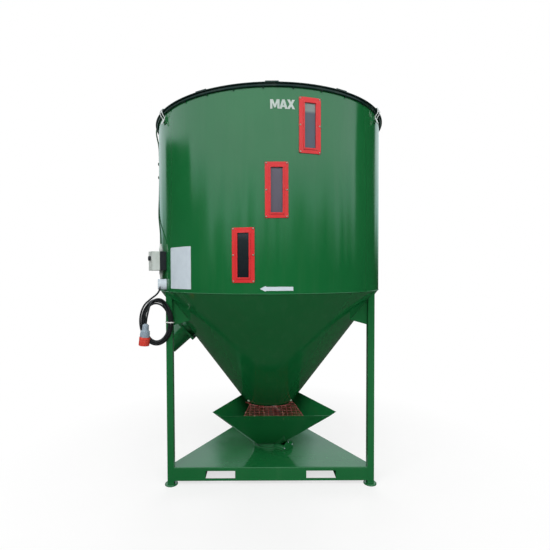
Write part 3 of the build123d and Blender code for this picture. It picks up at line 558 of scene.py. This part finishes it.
def rounded(width, height, corner, steps=5):
    """Outline of a rectangle with round corners."""
    rows = []
    centres = (
        (width / 2 - corner, height / 2 - corner, 0),
        (corner - width / 2, height / 2 - corner, 90),
        (corner - width / 2, corner - height / 2, 180),
        (width / 2 - corner, corner - height / 2, 270),
    )
    for x, y, first in centres:
        for step in range(steps + 1):
            angle = math.radians(first + 90 * step / steps)
            rows.append((x + corner * math.cos(angle), y + corner * math.sin(angle)))
    return rows


def bead(mesh, radius, z, size, count=420):
    """Rippled weld bead round the axis."""
    rows = []
    for step in range(count):
        azimuth = 360.0 * step / count
        swell = size * (1 + 0.14 * math.sin(step * 2.3) + 0.1 * random.random())
        ring = []
        for part in range(6):
            angle = 2 * math.pi * part / 6
            beside = radius + swell * math.cos(angle)
            ring.append(mesh.verts.new(polar(azimuth, beside, z + swell * math.sin(angle))))
        rows.append(ring)
    for here, after in zip(rows, rows[1:] + rows[:1]):
        for part in range(6):
            nearby = (part + 1) % 6
            mesh.faces.new((here[part], here[nearby], after[nearby], after[part]))


def round_cable(name, points, radius, sides, steps, material):
    """Round cable on a smooth curve along control points, with flat ends."""
    curve = bpy.data.curves.new(name, "CURVE")
    curve.dimensions = "3D"
    curve.bevel_depth = radius * 0.001
    curve.bevel_resolution = sides
    curve.resolution_u = steps
    curve.use_fill_caps = True
    spline = curve.splines.new("NURBS")
    spline.points.add(len(points) - 1)
    for point, place in zip(spline.points, points):
        point.co = (*place, 1.0)
    spline.order_u = 3
    spline.use_endpoint_u = True
    cable = bpy.data.objects.new(name, curve)
    scene.collection.objects.link(cable)
    curve.materials.append(material)
    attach(cable, "frame")
    return cable


# Supply cable: from the gland, wound on the left leg, and down into the plug

cord_points = [
    (GLAND_X, GLAND_Y, GLAND_FOOT_Z), (GLAND_X, GLAND_Y, 1290),
    (-674.5, -378.3, 1262), (-678, -382.5, 1236),
    (-687, -386.5, 1212), (-704, -389.5, 1192), (-729, -390, 1175),
]

# How far each turn reaches to its four sides, and its Y at each quarter
lefts = (100.5, 83.5, 72.0, 74.0, 86.0)
bottoms = (145.5, 134.3, 123.1, 129.0, 140.5)
rights = (100.5, 89.3, 78.1, 84.0, 95.0)
tops = (147.0, 134.3, 123.1, 111.5, 128.0, 134.0)
depths = (
    (-387.0, -390.0, -387.0, -387.0), (-387.0, -387.0, -387.0, -387.0),
    (-387.0, -387.0, -387.0, -387.0), (-398.4, -398.4, -398.4, -398.4),
    (-398.4, -398.4, -398.4, -398.4), (-400.0, -400.0, -400.0, -400.0),
)
quarter_depths = [value for row in depths for value in row]
per_turn = 16
coil_size = 1.015
for step in range(2, per_turn * len(lefts) - 2):
    angle = math.radians(90 + 360 * step / per_turn)
    lap = step // per_turn
    quarter = step / per_turn * 4
    passed = int((step + per_turn / 4) // per_turn)
    across = math.cos(angle)
    rise = math.sin(angle)
    reach_x = lefts[lap] if across < 0 else rights[lap]
    reach_z = tops[passed] if rise > 0 else bottoms[lap]
    whole = int(quarter)
    share = quarter - whole
    y = quarter_depths[whole] * (1 - share) + quarter_depths[whole + 1] * share
    cord_points.append((COIL_X + coil_size * reach_x * across, y, COIL_Z + coil_size * reach_z * rise))
cord_points += [
    (-624, -400.5, 1118), (-641, -402, 1148), (-661, -405, 1166), (-685, -410, 1172.5),
    (-708.5, -418, 1166), (-725, -427, 1148), (-732, -434, 1126), (-736.5, -440, 1103),
    (-740.5, -444, 1082), (-744.5, -446, 1062), (-747.5, -447, 1043), PLUG_TOP,
]
cord_places = [at(*point) for point in cord_points]
supply_cord = round_cable("supply_cord", cord_places, SUPPLY_RADIUS, 5, 8, rubber)
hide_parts("supply_cable", "cable_coil", "plug_lead")

# Plug: gland nut, ribbed body, locking ring, red collar with its key, pins inside
lean = math.radians(PLUG_LEAN)
plug_down = Vector((-math.sin(lean), 0, -math.cos(lean)))
plug_place = facing(at(*PLUG_TOP), plug_down, (0, 1, 0))
mesh = bmesh.new()
turned(
    mesh, plug_place,
    ((6.2, 0), (9.5, 0.4), (10.5, 3), (14.0, 4.5), (17.5, 7), (18.3, 9), (18.3, 20), (19.2, 21),
     (19.8, 30), (20.2, 38), (22, 41), (26, 43.5), (27.6, 46), (27.8, 50), (26.8, 51), (26.8, 54),
     (27.8, 55), (28.3, 64), (28.5, 80), (24, 80.5), (0, 81)),
    40,
)
for rib in around(plug_place, 14, at(18.0, 0, 15)):
    block(mesh, rib, (2.0, 2.2, 9.0), 0.5)
for rib in around(plug_place, 18, at(27.8, 0, 66)):
    block(mesh, rib, (1.6, 2.4, 20.0), 0.6)
catch = plug_place @ Matrix.Translation(at(0, 22, 38)) @ Matrix.Rotation(0.3, 4, "X")
block(mesh, catch, (12, 5, 22), 1.2)
plug_shell = finish_piece("plug_shell", mesh, "frame", plug_grey, 35)
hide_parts("plug_body")
mesh = bmesh.new()
turned(
    mesh, plug_place,
    ((28.6, 80.5), (30.6, 81), (31.4, 83), (31.5, 96), (30.3, 97.5), (30.3, 100), (31.5, 101.5),
     (31.5, 128), (31, 131), (30, 131.8), (28.2, 131.8), (27.6, 130), (27.4, 92), (0, 92)),
    48,
)
block(mesh, plug_place @ Matrix.Translation(at(0, 30.6, 106)), (11, 3.4, 44), 1.0)
plug_hood = finish_piece("plug_hood", mesh, "frame", plug_red, 35)
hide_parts("plug_collar")
mesh = bmesh.new()
for step, pin in enumerate(around(plug_place, 5, at(14.5, 0, 92), 0.5)):
    wide = 3.0 if step else 3.6
    turned(mesh, pin, ((wide, 0), (wide, 32), (wide * 0.6, 35), (0, 35.6)), 14)
plug_pins = finish_piece("plug_pins", mesh, "frame", zinc)

# Strain relief under the switch box, and the same on the motor cable
mesh = bmesh.new()
low_gland = facing(at(GLAND_X, GLAND_Y, SWITCH_FOOT_Z), (0, 0, -1), (0, 1, 0))
high_gland = facing(at(GLAND_X, GLAND_Y, SWITCH_TOP_Z), (0, 0, 1), (0, 1, 0))
for place, hole in ((low_gland, 5.6), (high_gland, 4.6)):
    turned(
        mesh, place,
        ((11.6, 0), (11.6, 4), (10.2, 5), (10.2, 6), (11.2, 7), (11.2, 17), (10.4, 19), (9.2, 24),
         (8.6, 25), (8.2, 32), (7.6, 33), (7.4, 40), (6.9, 41), (6.8, 48), (hole, 48.5), (hole, 30)),
        24,
    )
    for rib in around(place, 12, at(11.2, 0, 12)):
        block(mesh, rib, (1.4, 1.6, 9.0), 0.4)
finish_piece("strain_reliefs", mesh, "frame", gland_grey, 35)

# White tie round the leg and the coil
mesh = bmesh.new()
outline = [
    (-649, -380), (-646.5, -383.5), (-640, -389), (-630, -398), (-625, -403.5), (-620, -405.6),
    (-600, -405.6), (-596.5, -404), (-594.5, -400), (-594.5, -388), (-600, -350), (-602, -342),
    (-605, -339.2), (-610, -338.6), (-640, -338.6), (-645, -339.2), (-648, -342), (-649, -346),
]
rings = []
for x, y in outline:
    centre = Vector((-622, -370))
    out = (Vector((x, y)) - centre).normalized() * 1.3
    rings.append([
        mesh.verts.new(at(x, y, TIE_LOW_Z)),
        mesh.verts.new(at(x, y, TIE_HIGH_Z)),
        mesh.verts.new(at(x + out.x, y + out.y, TIE_HIGH_Z)),
        mesh.verts.new(at(x + out.x, y + out.y, TIE_LOW_Z)),
    ])
for here, after in zip(rings, rings[1:] + rings[:1]):
    for side in range(4):
        nearby = (side + 1) % 4
        mesh.faces.new((here[side], here[nearby], after[nearby], after[side]))
block(mesh, Matrix.Translation(at(-612, -408.4, 1025.2)), (9.0, 5.4, 8.4), 0.8)
tail = Matrix.Translation(at(-604, -409.2, 1025.4)) @ Matrix.Rotation(-0.15, 4, "Z")
block(mesh, tail, (16.0, 1.2, 4.8), 0.3)
finish_piece("cable_tie", mesh, "frame", white_tie)

# Blank tag of folded vinyl round the cable
mesh = bmesh.new()
rows = []
for step in range(13):
    x = -692.0 + 59.0 * step / 12
    y = -385.4 - (x + 676.0) * 0.478 + 2.0 * math.sin(step * 0.55)
    y = min(y, -385.6 - max(0.0, x + 676.0) * 0.478)
    rows.append([
        mesh.verts.new(at(x, y, 1228)), mesh.verts.new(at(x + 0.4, y - 0.6, 1260)),
        mesh.verts.new(at(x, y, 1292)),
    ])
for here, after in zip(rows, rows[1:]):
    for side in range(2):
        mesh.faces.new((here[side], here[side + 1], after[side + 1], after[side]))
tag = finish_piece("cable_tag", mesh, "frame", vinyl)
thick = tag.modifiers.new("thickness", "SOLIDIFY")
thick.thickness = 0.0009
thick.offset = -1.0

# Window screws: four corners and the middle of each side
mesh = bmesh.new()
for azimuth, height in WINDOWS:
    for side in (-1, 1):
        for rise in (-WINDOW_SCREW_UP, 0.0, WINDOW_SCREW_UP):
            place = azimuth + math.degrees(side * WINDOW_SCREW_ACROSS / (BIN_RADIUS + 2.0))
            screw_head(mesh, outward(place, WINDOW_FACE_RADIUS, height + rise), 4.6, 3.2)
finish_piece("window_screws", mesh, "frame", pale_screw)

# Rim: nuts under the flange, heads on the lid beside its ribs, in the near-black green that paints the
# shade under the lid's edge
mesh = bmesh.new()
for step in range(RIM_BOLTS):
    azimuth = -3.4 + 360.0 / RIM_BOLTS * step
    below = facing(polar(azimuth, RIM_BOLT_RADIUS, RIM_FOOT_Z), (0, 0, -1), (0, 1, 0))
    hex_head(mesh, below, 8.0, 4.0, 0.0, 2.5)
    turned(mesh, below, ((2.5, 3.5), (2.5, 8.5), (2.0, 9.5), (0, 9.5)), 12)
    beside = min(abs((azimuth - 360 / LID_RIBS * rib + 180) % 360 - 180) for rib in range(LID_RIBS))
    if beside > 3.4:
        above = facing(polar(azimuth, RIM_BOLT_RADIUS, LID_TOP_Z), (0, 0, 1), (0, 1, 0))
        hex_head(mesh, above, 8.0, 3.5, 5.5)
finish_piece("rim_bolts", mesh, "frame", rim_shade_green)

# Rolled flange of the bin under the edge of the lid, in near-black green as painted shade
mesh = bmesh.new()
turned(
    mesh, Matrix.Identity(4),
    ((749.6, RIM_FOOT_Z), (758.4, RIM_FOOT_Z), (759.6, 2287.2), (760, 2289), (760, RIM_Z),
     (749.6, RIM_Z), (749.6, RIM_FOOT_Z)),
    240,
)
rim_flange = finish_piece("rim_flange", mesh, "frame", rim_shade_green)
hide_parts("rim_ring")

# Weld beads: at the seam of bin and cone, and at both ends of the boot
mesh = bmesh.new()
bead(mesh, BIN_RADIUS - 0.8, SEAM_Z, 2.6)
bead(mesh, BOOT_RADIUS, 140.5, 2.2, 160)
bead(mesh, BOOT_RADIUS, 115.6, 2.0, 160)
finish_piece("weld_beads", mesh, "frame", green, 60)

# Lid latches: green plate, wire lever on the wall, wire bail over the edge of the lid; the wires' pale
# grey is partly the zinc's own colour and partly a painted glint
plates = bmesh.new()
wires = bmesh.new()
for azimuth in LATCH_AZIMUTHS:
    wall = outward(azimuth, BIN_RADIUS, 0.0)
    block(plates, wall @ Matrix.Translation(at(0, 2251, 1.6)), (42.0, 50.0, 3.2), 0.8)
    for side in (-1, 1):
        block(plates, wall @ Matrix.Translation(at(side * 19, 2250, 6.5)), (3.0, 26.0, 9.0), 0.8)
        rivet = wall @ Matrix.Translation(at(side * 11, 2231, 3.2))
        screw_head(plates, rivet, 3.4, 2.2)
    block(plates, wall @ Matrix.Translation(at(0, 2308, 14)), (20.0, 9.0, 6.0), 1.0)
    for rows in (
        ((-15, 2250, 8), (-15.5, 2264, 15), (-15.5, 2277, 25), (-15.5, 2294, 30), (-14.5, 2305, 26),
         (-11, 2310, 20.5), (-6, 2311, 19.5), (6, 2311, 19.5), (11, 2310, 20.5), (14.5, 2305, 26),
         (15.5, 2294, 30), (15.5, 2277, 25), (15.5, 2264, 15), (15, 2250, 8)),
        ((-11, 2257, 9), (-11.5, 2246, 13), (-10.5, 2234, 18), (-7, 2225, 21.5), (-2.5, 2221.5, 23),
         (2.5, 2221.5, 23), (7, 2225, 21.5), (10.5, 2234, 18), (11.5, 2246, 13), (11, 2257, 9)),
        ((-19, 2250, 8), (19, 2250, 8)),
    ):
        rod(wires, [wall @ at(x, height, out) for x, height, out in rows], 3.0)
latch_plates = finish_piece("latch_plates", plates, "frame", green)
finish_piece("latch_wires", wires, "frame", wire_zinc_and_glint)
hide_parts("lid_latches")

# Motor cable, close to the wall and round the edge of the lid: azimuth, distance, height
cable_rows = (
    (-61.0, 20.0, 1484.5), (-61.0, 20.0, 1514.0), (-62.4, 16.0, 1552.0), (-65.5, 9.5, 1598.0),
    (-70.0, 5.2, 1650.0), (-75.0, 5.0, 1706.0), (-79.5, 5.0, 1772.0), (-82.5, 5.0, 1850.0),
    (-84.0, 5.0, 1940.0), (-84.6, 5.0, 2035.0), (-84.4, 5.2, 2125.0), (-84.8, 8.0, 2205.0),
    (-85.0, 20.0, 2256.0), (-85.0, 27.0, 2300.0), (-85.5, 21.0, 2333.0), (-86.0, -6.0, 2349.0),
    (-90.0, -48.0, 2348.0), (-96.0, -112.0, 2334.0), (-103.0, -185.0, 2317.0), (-110.0, -265.0, 2310.0),
)
cable_points = [polar(azimuth, BIN_RADIUS + proud, z) for azimuth, proud, z in cable_rows]
cable_points += [
    at(-375, 203, 2312), at(-300, 233, 2333), at(-228, 256, 2372), at(-168, 266, 2427),
    at(-130, MOTOR_Y, 2484), at(-118, MOTOR_Y, 2519), at(-118, MOTOR_Y, 2527),
]
motor_cable_run = round_cable("motor_cable_run", cable_points, MOTOR_CABLE_RADIUS, 4, 6, over_sprayed)
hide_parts("motor_cable")

# Guard of the hopper: round wires where the solid has its bars, hoop and two tabs
solid_guard = node["hopper_guard"]
into_guard = solid_guard.matrix_world.inverted()


def wire_on_guard(mesh, points, radius):
    """Rods along the runs of points that lie on the solid's bars."""
    run = []
    for point in list(points) + [None]:
        held = False
        if point is not None:
            local = into_guard @ point
            found, near, normal, face = solid_guard.closest_point_on_mesh(local)
            held = found and (near - local).length < 0.0034
        if held:
            run.append(point)
            continue
        if len(run) > 3:
            rod(mesh, [run[0], *run[4:-4:4], run[-1]], radius, 8)
        run = []


mesh = bmesh.new()
for column in range(-7, 8):
    x = GUARD_X + GUARD_STEP * column
    wire_on_guard(mesh, [at(x, GUARD_REAR_Y - 3 * step, GUARD_Z + 1.6) for step in range(115)], 1.7)
for row in range(12):
    y = GUARD_REAR_Y - GUARD_STEP * (row + 0.5)
    wire_on_guard(mesh, [at(-200 + 3 * step, y, GUARD_Z + 3.6) for step in range(148)], 1.7)
for side in (-1, 1):
    edge_points = []
    for step in range(115):
        share = step / 114
        x = GUARD_X + side * (147.5 + 50 * share)
        edge_points.append(at(x, GUARD_REAR_Y - GUARD_DEPTH * share, GUARD_Z + 2.5))
    wire_on_guard(mesh, edge_points, 2.5)
hoop = [polar(-62 + step, GUARD_HOOP_RADIUS, GUARD_Z + 2.5) for step in range(125)]
wire_on_guard(mesh, hoop, 2.6)
for azimuth in (-52.0, 55.0):
    block(mesh, outward(azimuth, 178.0, 431.5), (24.0, 5.0, 24.0), 0.8)
guard_wires = finish_piece("guard_wires", mesh, "frame", guard_red)
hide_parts("hopper_guard")

# Motor: flange, finned body, terminal box and cowl with its grille
mesh = bmesh.new()
upright = Matrix.Translation(at(0, MOTOR_Y, 0))
grille = []
for radius in (72, 58, 44, 30):
    grille += [
        (radius, MOTOR_TOP_Z), (radius, MOTOR_TOP_Z - 3), (radius - 6, MOTOR_TOP_Z - 3),
        (radius - 6, MOTOR_TOP_Z),
    ]
turned(
    mesh, upright,
    ((0, BELT_GUARD_TOP_Z), (95, BELT_GUARD_TOP_Z), (95, 2444), (93.5, 2446), (84, 2447),
     (82, 2452), (80, 2454),
     (80, 2608), (88, 2609), (90, 2611), (90, 2619), (93.5, 2620), (94.5, 2622), (95, 2626),
     (95, 2672), (93, 2681), (87, 2687), (79, MOTOR_TOP_Z), *grille, (0, MOTOR_TOP_Z)),
    72,
)
for step, fin in enumerate(around(upright, 36, at(86, 0, 2531))):
    if abs(360 * step / 36 - 180) >= 24:
        block(mesh, fin, (14.5, 2.6, 150.0), 0.7)
for bolt in around(upright, 4, at(87, 0, 2445.5), 0.5):
    hex_head(mesh, bolt, 11.0, 6.0, 7.5)
block(mesh, Matrix.Translation(at(-104, MOTOR_Y, TERMINAL_Z)), (60.0, 78.0, 69.0), 3.0)
block(mesh, Matrix.Translation(at(-136.5, MOTOR_Y, TERMINAL_Z)), (7.0, 80.0, 70.0), 1.6)
for side in (-1, 1):
    for rise in (-1, 1):
        screw = facing(at(-139.0, MOTOR_Y + side * 34, TERMINAL_Z + rise * 29), (-1, 0, 0))
        screw_head(mesh, screw, 3.4, 1.0)
turned(
    mesh, facing(at(-118, MOTOR_Y, 2529), (0, 0, -1), (0, 1, 0)),
    ((11, 0), (11, 7), (9.5, 8), (9.5, 16), (7, 20), (4.6, 20.5), (4.6, 4)), 20,
)
motor_shell = finish_piece("motor_shell", mesh, "frame", motor_grey)
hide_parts("motor")

# Screws of the belt guard, the two stubs and the clean-out cover
mesh = bmesh.new()
for angle in (200, 235, 270, 305, 340):
    turn_angle = math.radians(angle)
    place = at(96 * math.cos(turn_angle), 96 * math.sin(turn_angle), BELT_GUARD_TOP_Z)
    hex_head(mesh, Matrix.Translation(place), 10.0, 5.0, 7.5)
for side in (-1, 1):
    for y in (45, 120):
        hex_head(mesh, Matrix.Translation(at(side * 96, y, BELT_GUARD_TOP_Z)), 10.0, 5.0, 7.5)
for name in ("inlet_stub", "vent_stub"):
    low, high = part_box(name)
    middle = (low + high) / 2
    reach = (high.x - low.x) / 2 - 0.009
    stub_foot = Matrix.Translation(Vector((middle.x, middle.y, low.z + 0.003)))
    for step in range(8):
        turn_angle = 2 * math.pi * (step + 0.5) / 8
        place = Vector((reach * math.cos(turn_angle), reach * math.sin(turn_angle), 0))
        hex_head(mesh, stub_foot @ Matrix.Translation(place), 8.0, 4.0, 6.5)
low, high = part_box("base_plate")
foot = outward(48.0, 176.0, high.z * 1000)
for angle in (22, 90, 158):
    turn_angle = math.radians(angle)
    place = at(46 * math.cos(turn_angle), 46 * math.sin(turn_angle), 0)
    hex_head(mesh, foot @ Matrix.Translation(place), 8.0, 4.0, 6.5)
finish_piece("lid_screws", mesh, "frame", zinc)

# Handle of the hatch
low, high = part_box("hatch")
top = high.z * 1000
front = low.y * 1000 + 42
mesh = bmesh.new()
grip = (
    (-62, 0), (-62, 14), (-60, 22), (-54, 27), (-44, 28),
    (44, 28), (54, 27), (60, 22), (62, 14), (62, 0),
)
rod(mesh, [at(x, front, top + rise) for x, rise in grip], 5.0, 14)
for side in (-1, 1):
    grip_foot = Matrix.Translation(at(side * 62, front, top))
    turned(mesh, grip_foot, ((10, 0), (10, 2), (8, 3.5), (5, 4), (0, 4)), 20)
finish_piece("hatch_grip", mesh, "hatch", black)

# Rounded top front edge of the base
low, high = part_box("front_apron")
mesh = bmesh.new()
edge_y = low.y * 1000 + 4.0
edge_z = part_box("base_plate")[1].z * 1000
rod(mesh, [at(x, edge_y, edge_z) for x in (low.x * 1000, 0, high.x * 1000)], 4.0, 16)
finish_piece("front_edge", mesh, "frame", green, 60)

# Marks: the fill mark, a blank arrow and a blank plate of white vinyl
letters = (
    (0, ((0, 0), (12, 0), (12, 30), (21, 6), (29, 6), (38, 30), (38, 0), (50, 0), (50, 48), (35, 48),
         (25, 22), (15, 48), (0, 48))),
    (49, ((0, 0), (13, 0), (16, 9), (19, 18), (22, 33), (22, 48), (15, 48))),
    (49, ((31, 0), (44, 0), (29, 48), (22, 48), (22, 33), (25, 18), (28, 9))),
    (49, ((16, 9), (28, 9), (25, 18), (19, 18))),
    (90, ((0, 0), (14.5, 0), (22, 14), (29.5, 0), (44, 0), (30, 24.5), (43, 48), (28.5, 48), (22, 35.5),
          (15.5, 48), (1, 48), (14, 24.5))),
)
mesh = bmesh.new()
for shift, outline in letters:
    corners = [mesh.verts.new(((x + shift - 67) * 130 / 134, y - 24, 0)) for x, y in outline]
    mesh.faces.new(corners)
bmesh.ops.remove_doubles(mesh, verts=mesh.verts, dist=0.01)
cut_across(mesh, 8)
thicken(mesh, 0.4)
for vertex in mesh.verts:
    azimuth = FILL_MARK[0] + math.degrees(vertex.co.x / BIN_RADIUS)
    vertex.co = polar(azimuth, BIN_RADIUS + 0.3 + vertex.co.z, FILL_MARK[1] + vertex.co.y)
finish_piece("fill_mark", mesh, "frame", mark_paint)

arrow = [(-88, 0), (-56, 15.5), (-56, 10.5), (88, 10.5), (88, -10.5), (-56, -10.5), (-56, -15.5)]
wall_sheet("arrow_mark", arrow, *ARROW, 0.4, vinyl)
wall_sheet("info_plate", rounded(204, 242, 4), *PLATE, 0.5, vinyl)

# Cone foot: two bolts that hold the tabs of the guard
mesh = bmesh.new()
for azimuth in (-48.0, 51.0):
    angle = math.radians(azimuth)
    slope = Vector((math.sin(angle) * 0.807, -math.cos(angle) * 0.807, -0.59))
    hex_head(mesh, facing(polar(azimuth, 189.2, 449), slope), 15.0, 6.0, 10.0)
finish_piece("guard_bolts", mesh, "frame", pale_screw)

# Light and background

world = bpy.data.worlds.new("studio")
scene.world = world
world.use_nodes = True
nodes = world.node_tree.nodes
links = world.node_tree.links
back = nodes["Background"]

# Gloss shows a pale sky over a dim horizon with a dark wall at the left, one at the right
path = nodes.new("ShaderNodeLightPath")
place = nodes.new("ShaderNodeTexCoord")
parts = nodes.new("ShaderNodeSeparateXYZ")
links.new(place.outputs["Generated"], parts.inputs[0])
east = parts.outputs["X"]
north = parts.outputs["Y"]
up = parts.outputs["Z"]
west_side = spread(nodes, links, east, -0.02, 0.02, 1.0, 0.0)
east_side = spread(nodes, links, east, -0.02, 0.02, 0.0, 1.0)
low_sky = spread(nodes, links, up, 0.325, 0.295, 0.0, 1.0)
left = maths(nodes, links, "MULTIPLY", band(nodes, links, north, -0.1, 0.57, 0.035), west_side)
left = maths(nodes, links, "MULTIPLY", left, low_sky)
right = maths(nodes, links, "MULTIPLY", band(nodes, links, north, 0.06, 0.66, 0.035), east_side)
fading = spread(nodes, links, up, 0.2, 0.32, 1.0, 0.0)
clump = maths(nodes, links, "MULTIPLY", band(nodes, links, north, -0.42, -0.08, 0.1), west_side)
clump = maths(nodes, links, "MULTIPLY", clump, fading)
mapping = nodes.new("ShaderNodeMapping")
mapping.inputs["Scale"].default_value = (1.0, 1.0, 0.22)
links.new(place.outputs["Generated"], mapping.inputs["Vector"])
texture = nodes.new("ShaderNodeTexNoise")
texture.inputs["Scale"].default_value = 7.0
texture.inputs["Detail"].default_value = 3.0
links.new(mapping.outputs["Vector"], texture.inputs["Vector"])
treetops = spread(nodes, links, texture.outputs["Fac"], 0.4, 0.72, -0.01, 0.1)
rear = spread(nodes, links, north, 0.72, 0.84, 0.0, 1.0)
rear_gap = maths(nodes, links, "MULTIPLY", band(nodes, links, east, -0.11, 0.12, 0.02), rear)
treetops = maths(nodes, links, "MULTIPLY", treetops, fading)
height = maths(nodes, links, "SUBTRACT", up, treetops)
for mask, depth in ((left, 0.45), (right, 0.45), (clump, 0.1), (rear_gap, 0.42), (rear, -0.05)):
    height = maths(nodes, links, "SUBTRACT", height, maths(nodes, links, "MULTIPLY", mask, depth))
shine = ramp(
    nodes, links, height,
    ((0.0, (0.015, 0.03, 0.015)), (0.06, (0.16, 0.26, 0.21)), (0.14, (0.5, 0.74, 0.72)),
     (0.28, (0.82, 0.98, 1.0))),
)
direct = maths(nodes, links, "MAXIMUM", path.outputs["Is Camera Ray"], path.outputs["Is Transmission Ray"])
base_light = blend_colours(nodes, links, direct, (0.4, 0.4, 0.4), (1.0, 1.0, 1.0))
whole_sky = blend_colours(nodes, links, path.outputs["Is Glossy Ray"], base_light, shine)
links.new(whole_sky, back.inputs["Color"])
back.inputs["Strength"].default_value = 1.0


def lamp(name, place, target, width, height, watts):
    """Rectangular area lamp that lights but isn't mirrored."""
    data = bpy.data.lights.new(name, "AREA")
    data.shape = "RECTANGLE"
    data.size = width
    data.size_y = height
    data.energy = watts
    thing = bpy.data.objects.new(name, data)
    scene.collection.objects.link(thing)
    direction = Vector(target) - Vector(place)
    thing.matrix_world = facing(Vector(place), -direction)
    thing.visible_glossy = False


lamp("sky_panel", (0, -6.5, 5.6), (0, 0, 1.6), 11.0, 4.0, 430)
lamp("key", (-4.5, -4.5, 5.0), (0, 0, 1.2), 2.5, 2.5, 100)
lamp("fill", (5.0, -3.0, 3.0), (0, 0, 1.0), 3.0, 3.0, 50)
lamp("rear", (0.5, 5.5, 5.0), (0, 0, 1.5), 5.0, 3.0, 150)

# Floor: pale to the camera with the object's shadow, white further out, and dark grey-green in reflections
# as a painted reflection of dark ground
mesh = bmesh.new()
bmesh.ops.create_grid(mesh, x_segments=8, y_segments=8, size=14.0)
floor_data = bpy.data.meshes.new("floor")
mesh.to_mesh(floor_data)
mesh.free()
floor = bpy.data.objects.new("floor", floor_data)
scene.collection.objects.link(floor)
floor_material, nodes, links, shader = start("pale_floor")
tone = noise(nodes, links, 3.0, 3.0)
path = nodes.new("ShaderNodeLightPath")
seen = maths(nodes, links, "MAXIMUM", path.outputs["Is Camera Ray"], path.outputs["Is Transmission Ray"])
pale = ramp(nodes, links, tone, ((0.3, (0.93, 0.93, 0.93)), (0.7, (0.96, 0.96, 0.96))))
mirrored = path.outputs["Is Glossy Ray"]
# Grey for bounce light, dark grey-green in glossy rays: a painted reflection
floor_bounce_and_painted_reflection = blend_colours(nodes, links, mirrored, (0.34, 0.34, 0.34), (0.07, 0.09, 0.07))
links.new(blend_colours(nodes, links, seen, floor_bounce_and_painted_reflection, pale), shader.inputs["Base Color"])
shader.inputs["Roughness"].default_value = 0.9
shader.inputs["Specular IOR Level"].default_value = 0.1
glow = nodes.new("ShaderNodeEmission")
place = nodes.new("ShaderNodeTexCoord")
distance = nodes.new("ShaderNodeVectorMath")
distance.operation = "LENGTH"
links.new(place.outputs["Object"], distance.inputs[0])
far = spread(nodes, links, distance.outputs["Value"], 0.9, 1.9, 0.68, 1.0)
share = times(nodes, links, far, seen)
mix = nodes.new("ShaderNodeMixShader")
links.new(share, mix.inputs[0])
links.new(shader.outputs["BSDF"], mix.inputs[1])
links.new(glow.outputs["Emission"], mix.inputs[2])
links.new(mix.outputs["Shader"], nodes["Material Output"].inputs["Surface"])
floor_data.materials.append(floor_material)

scene.view_settings.view_transform = "Standard"
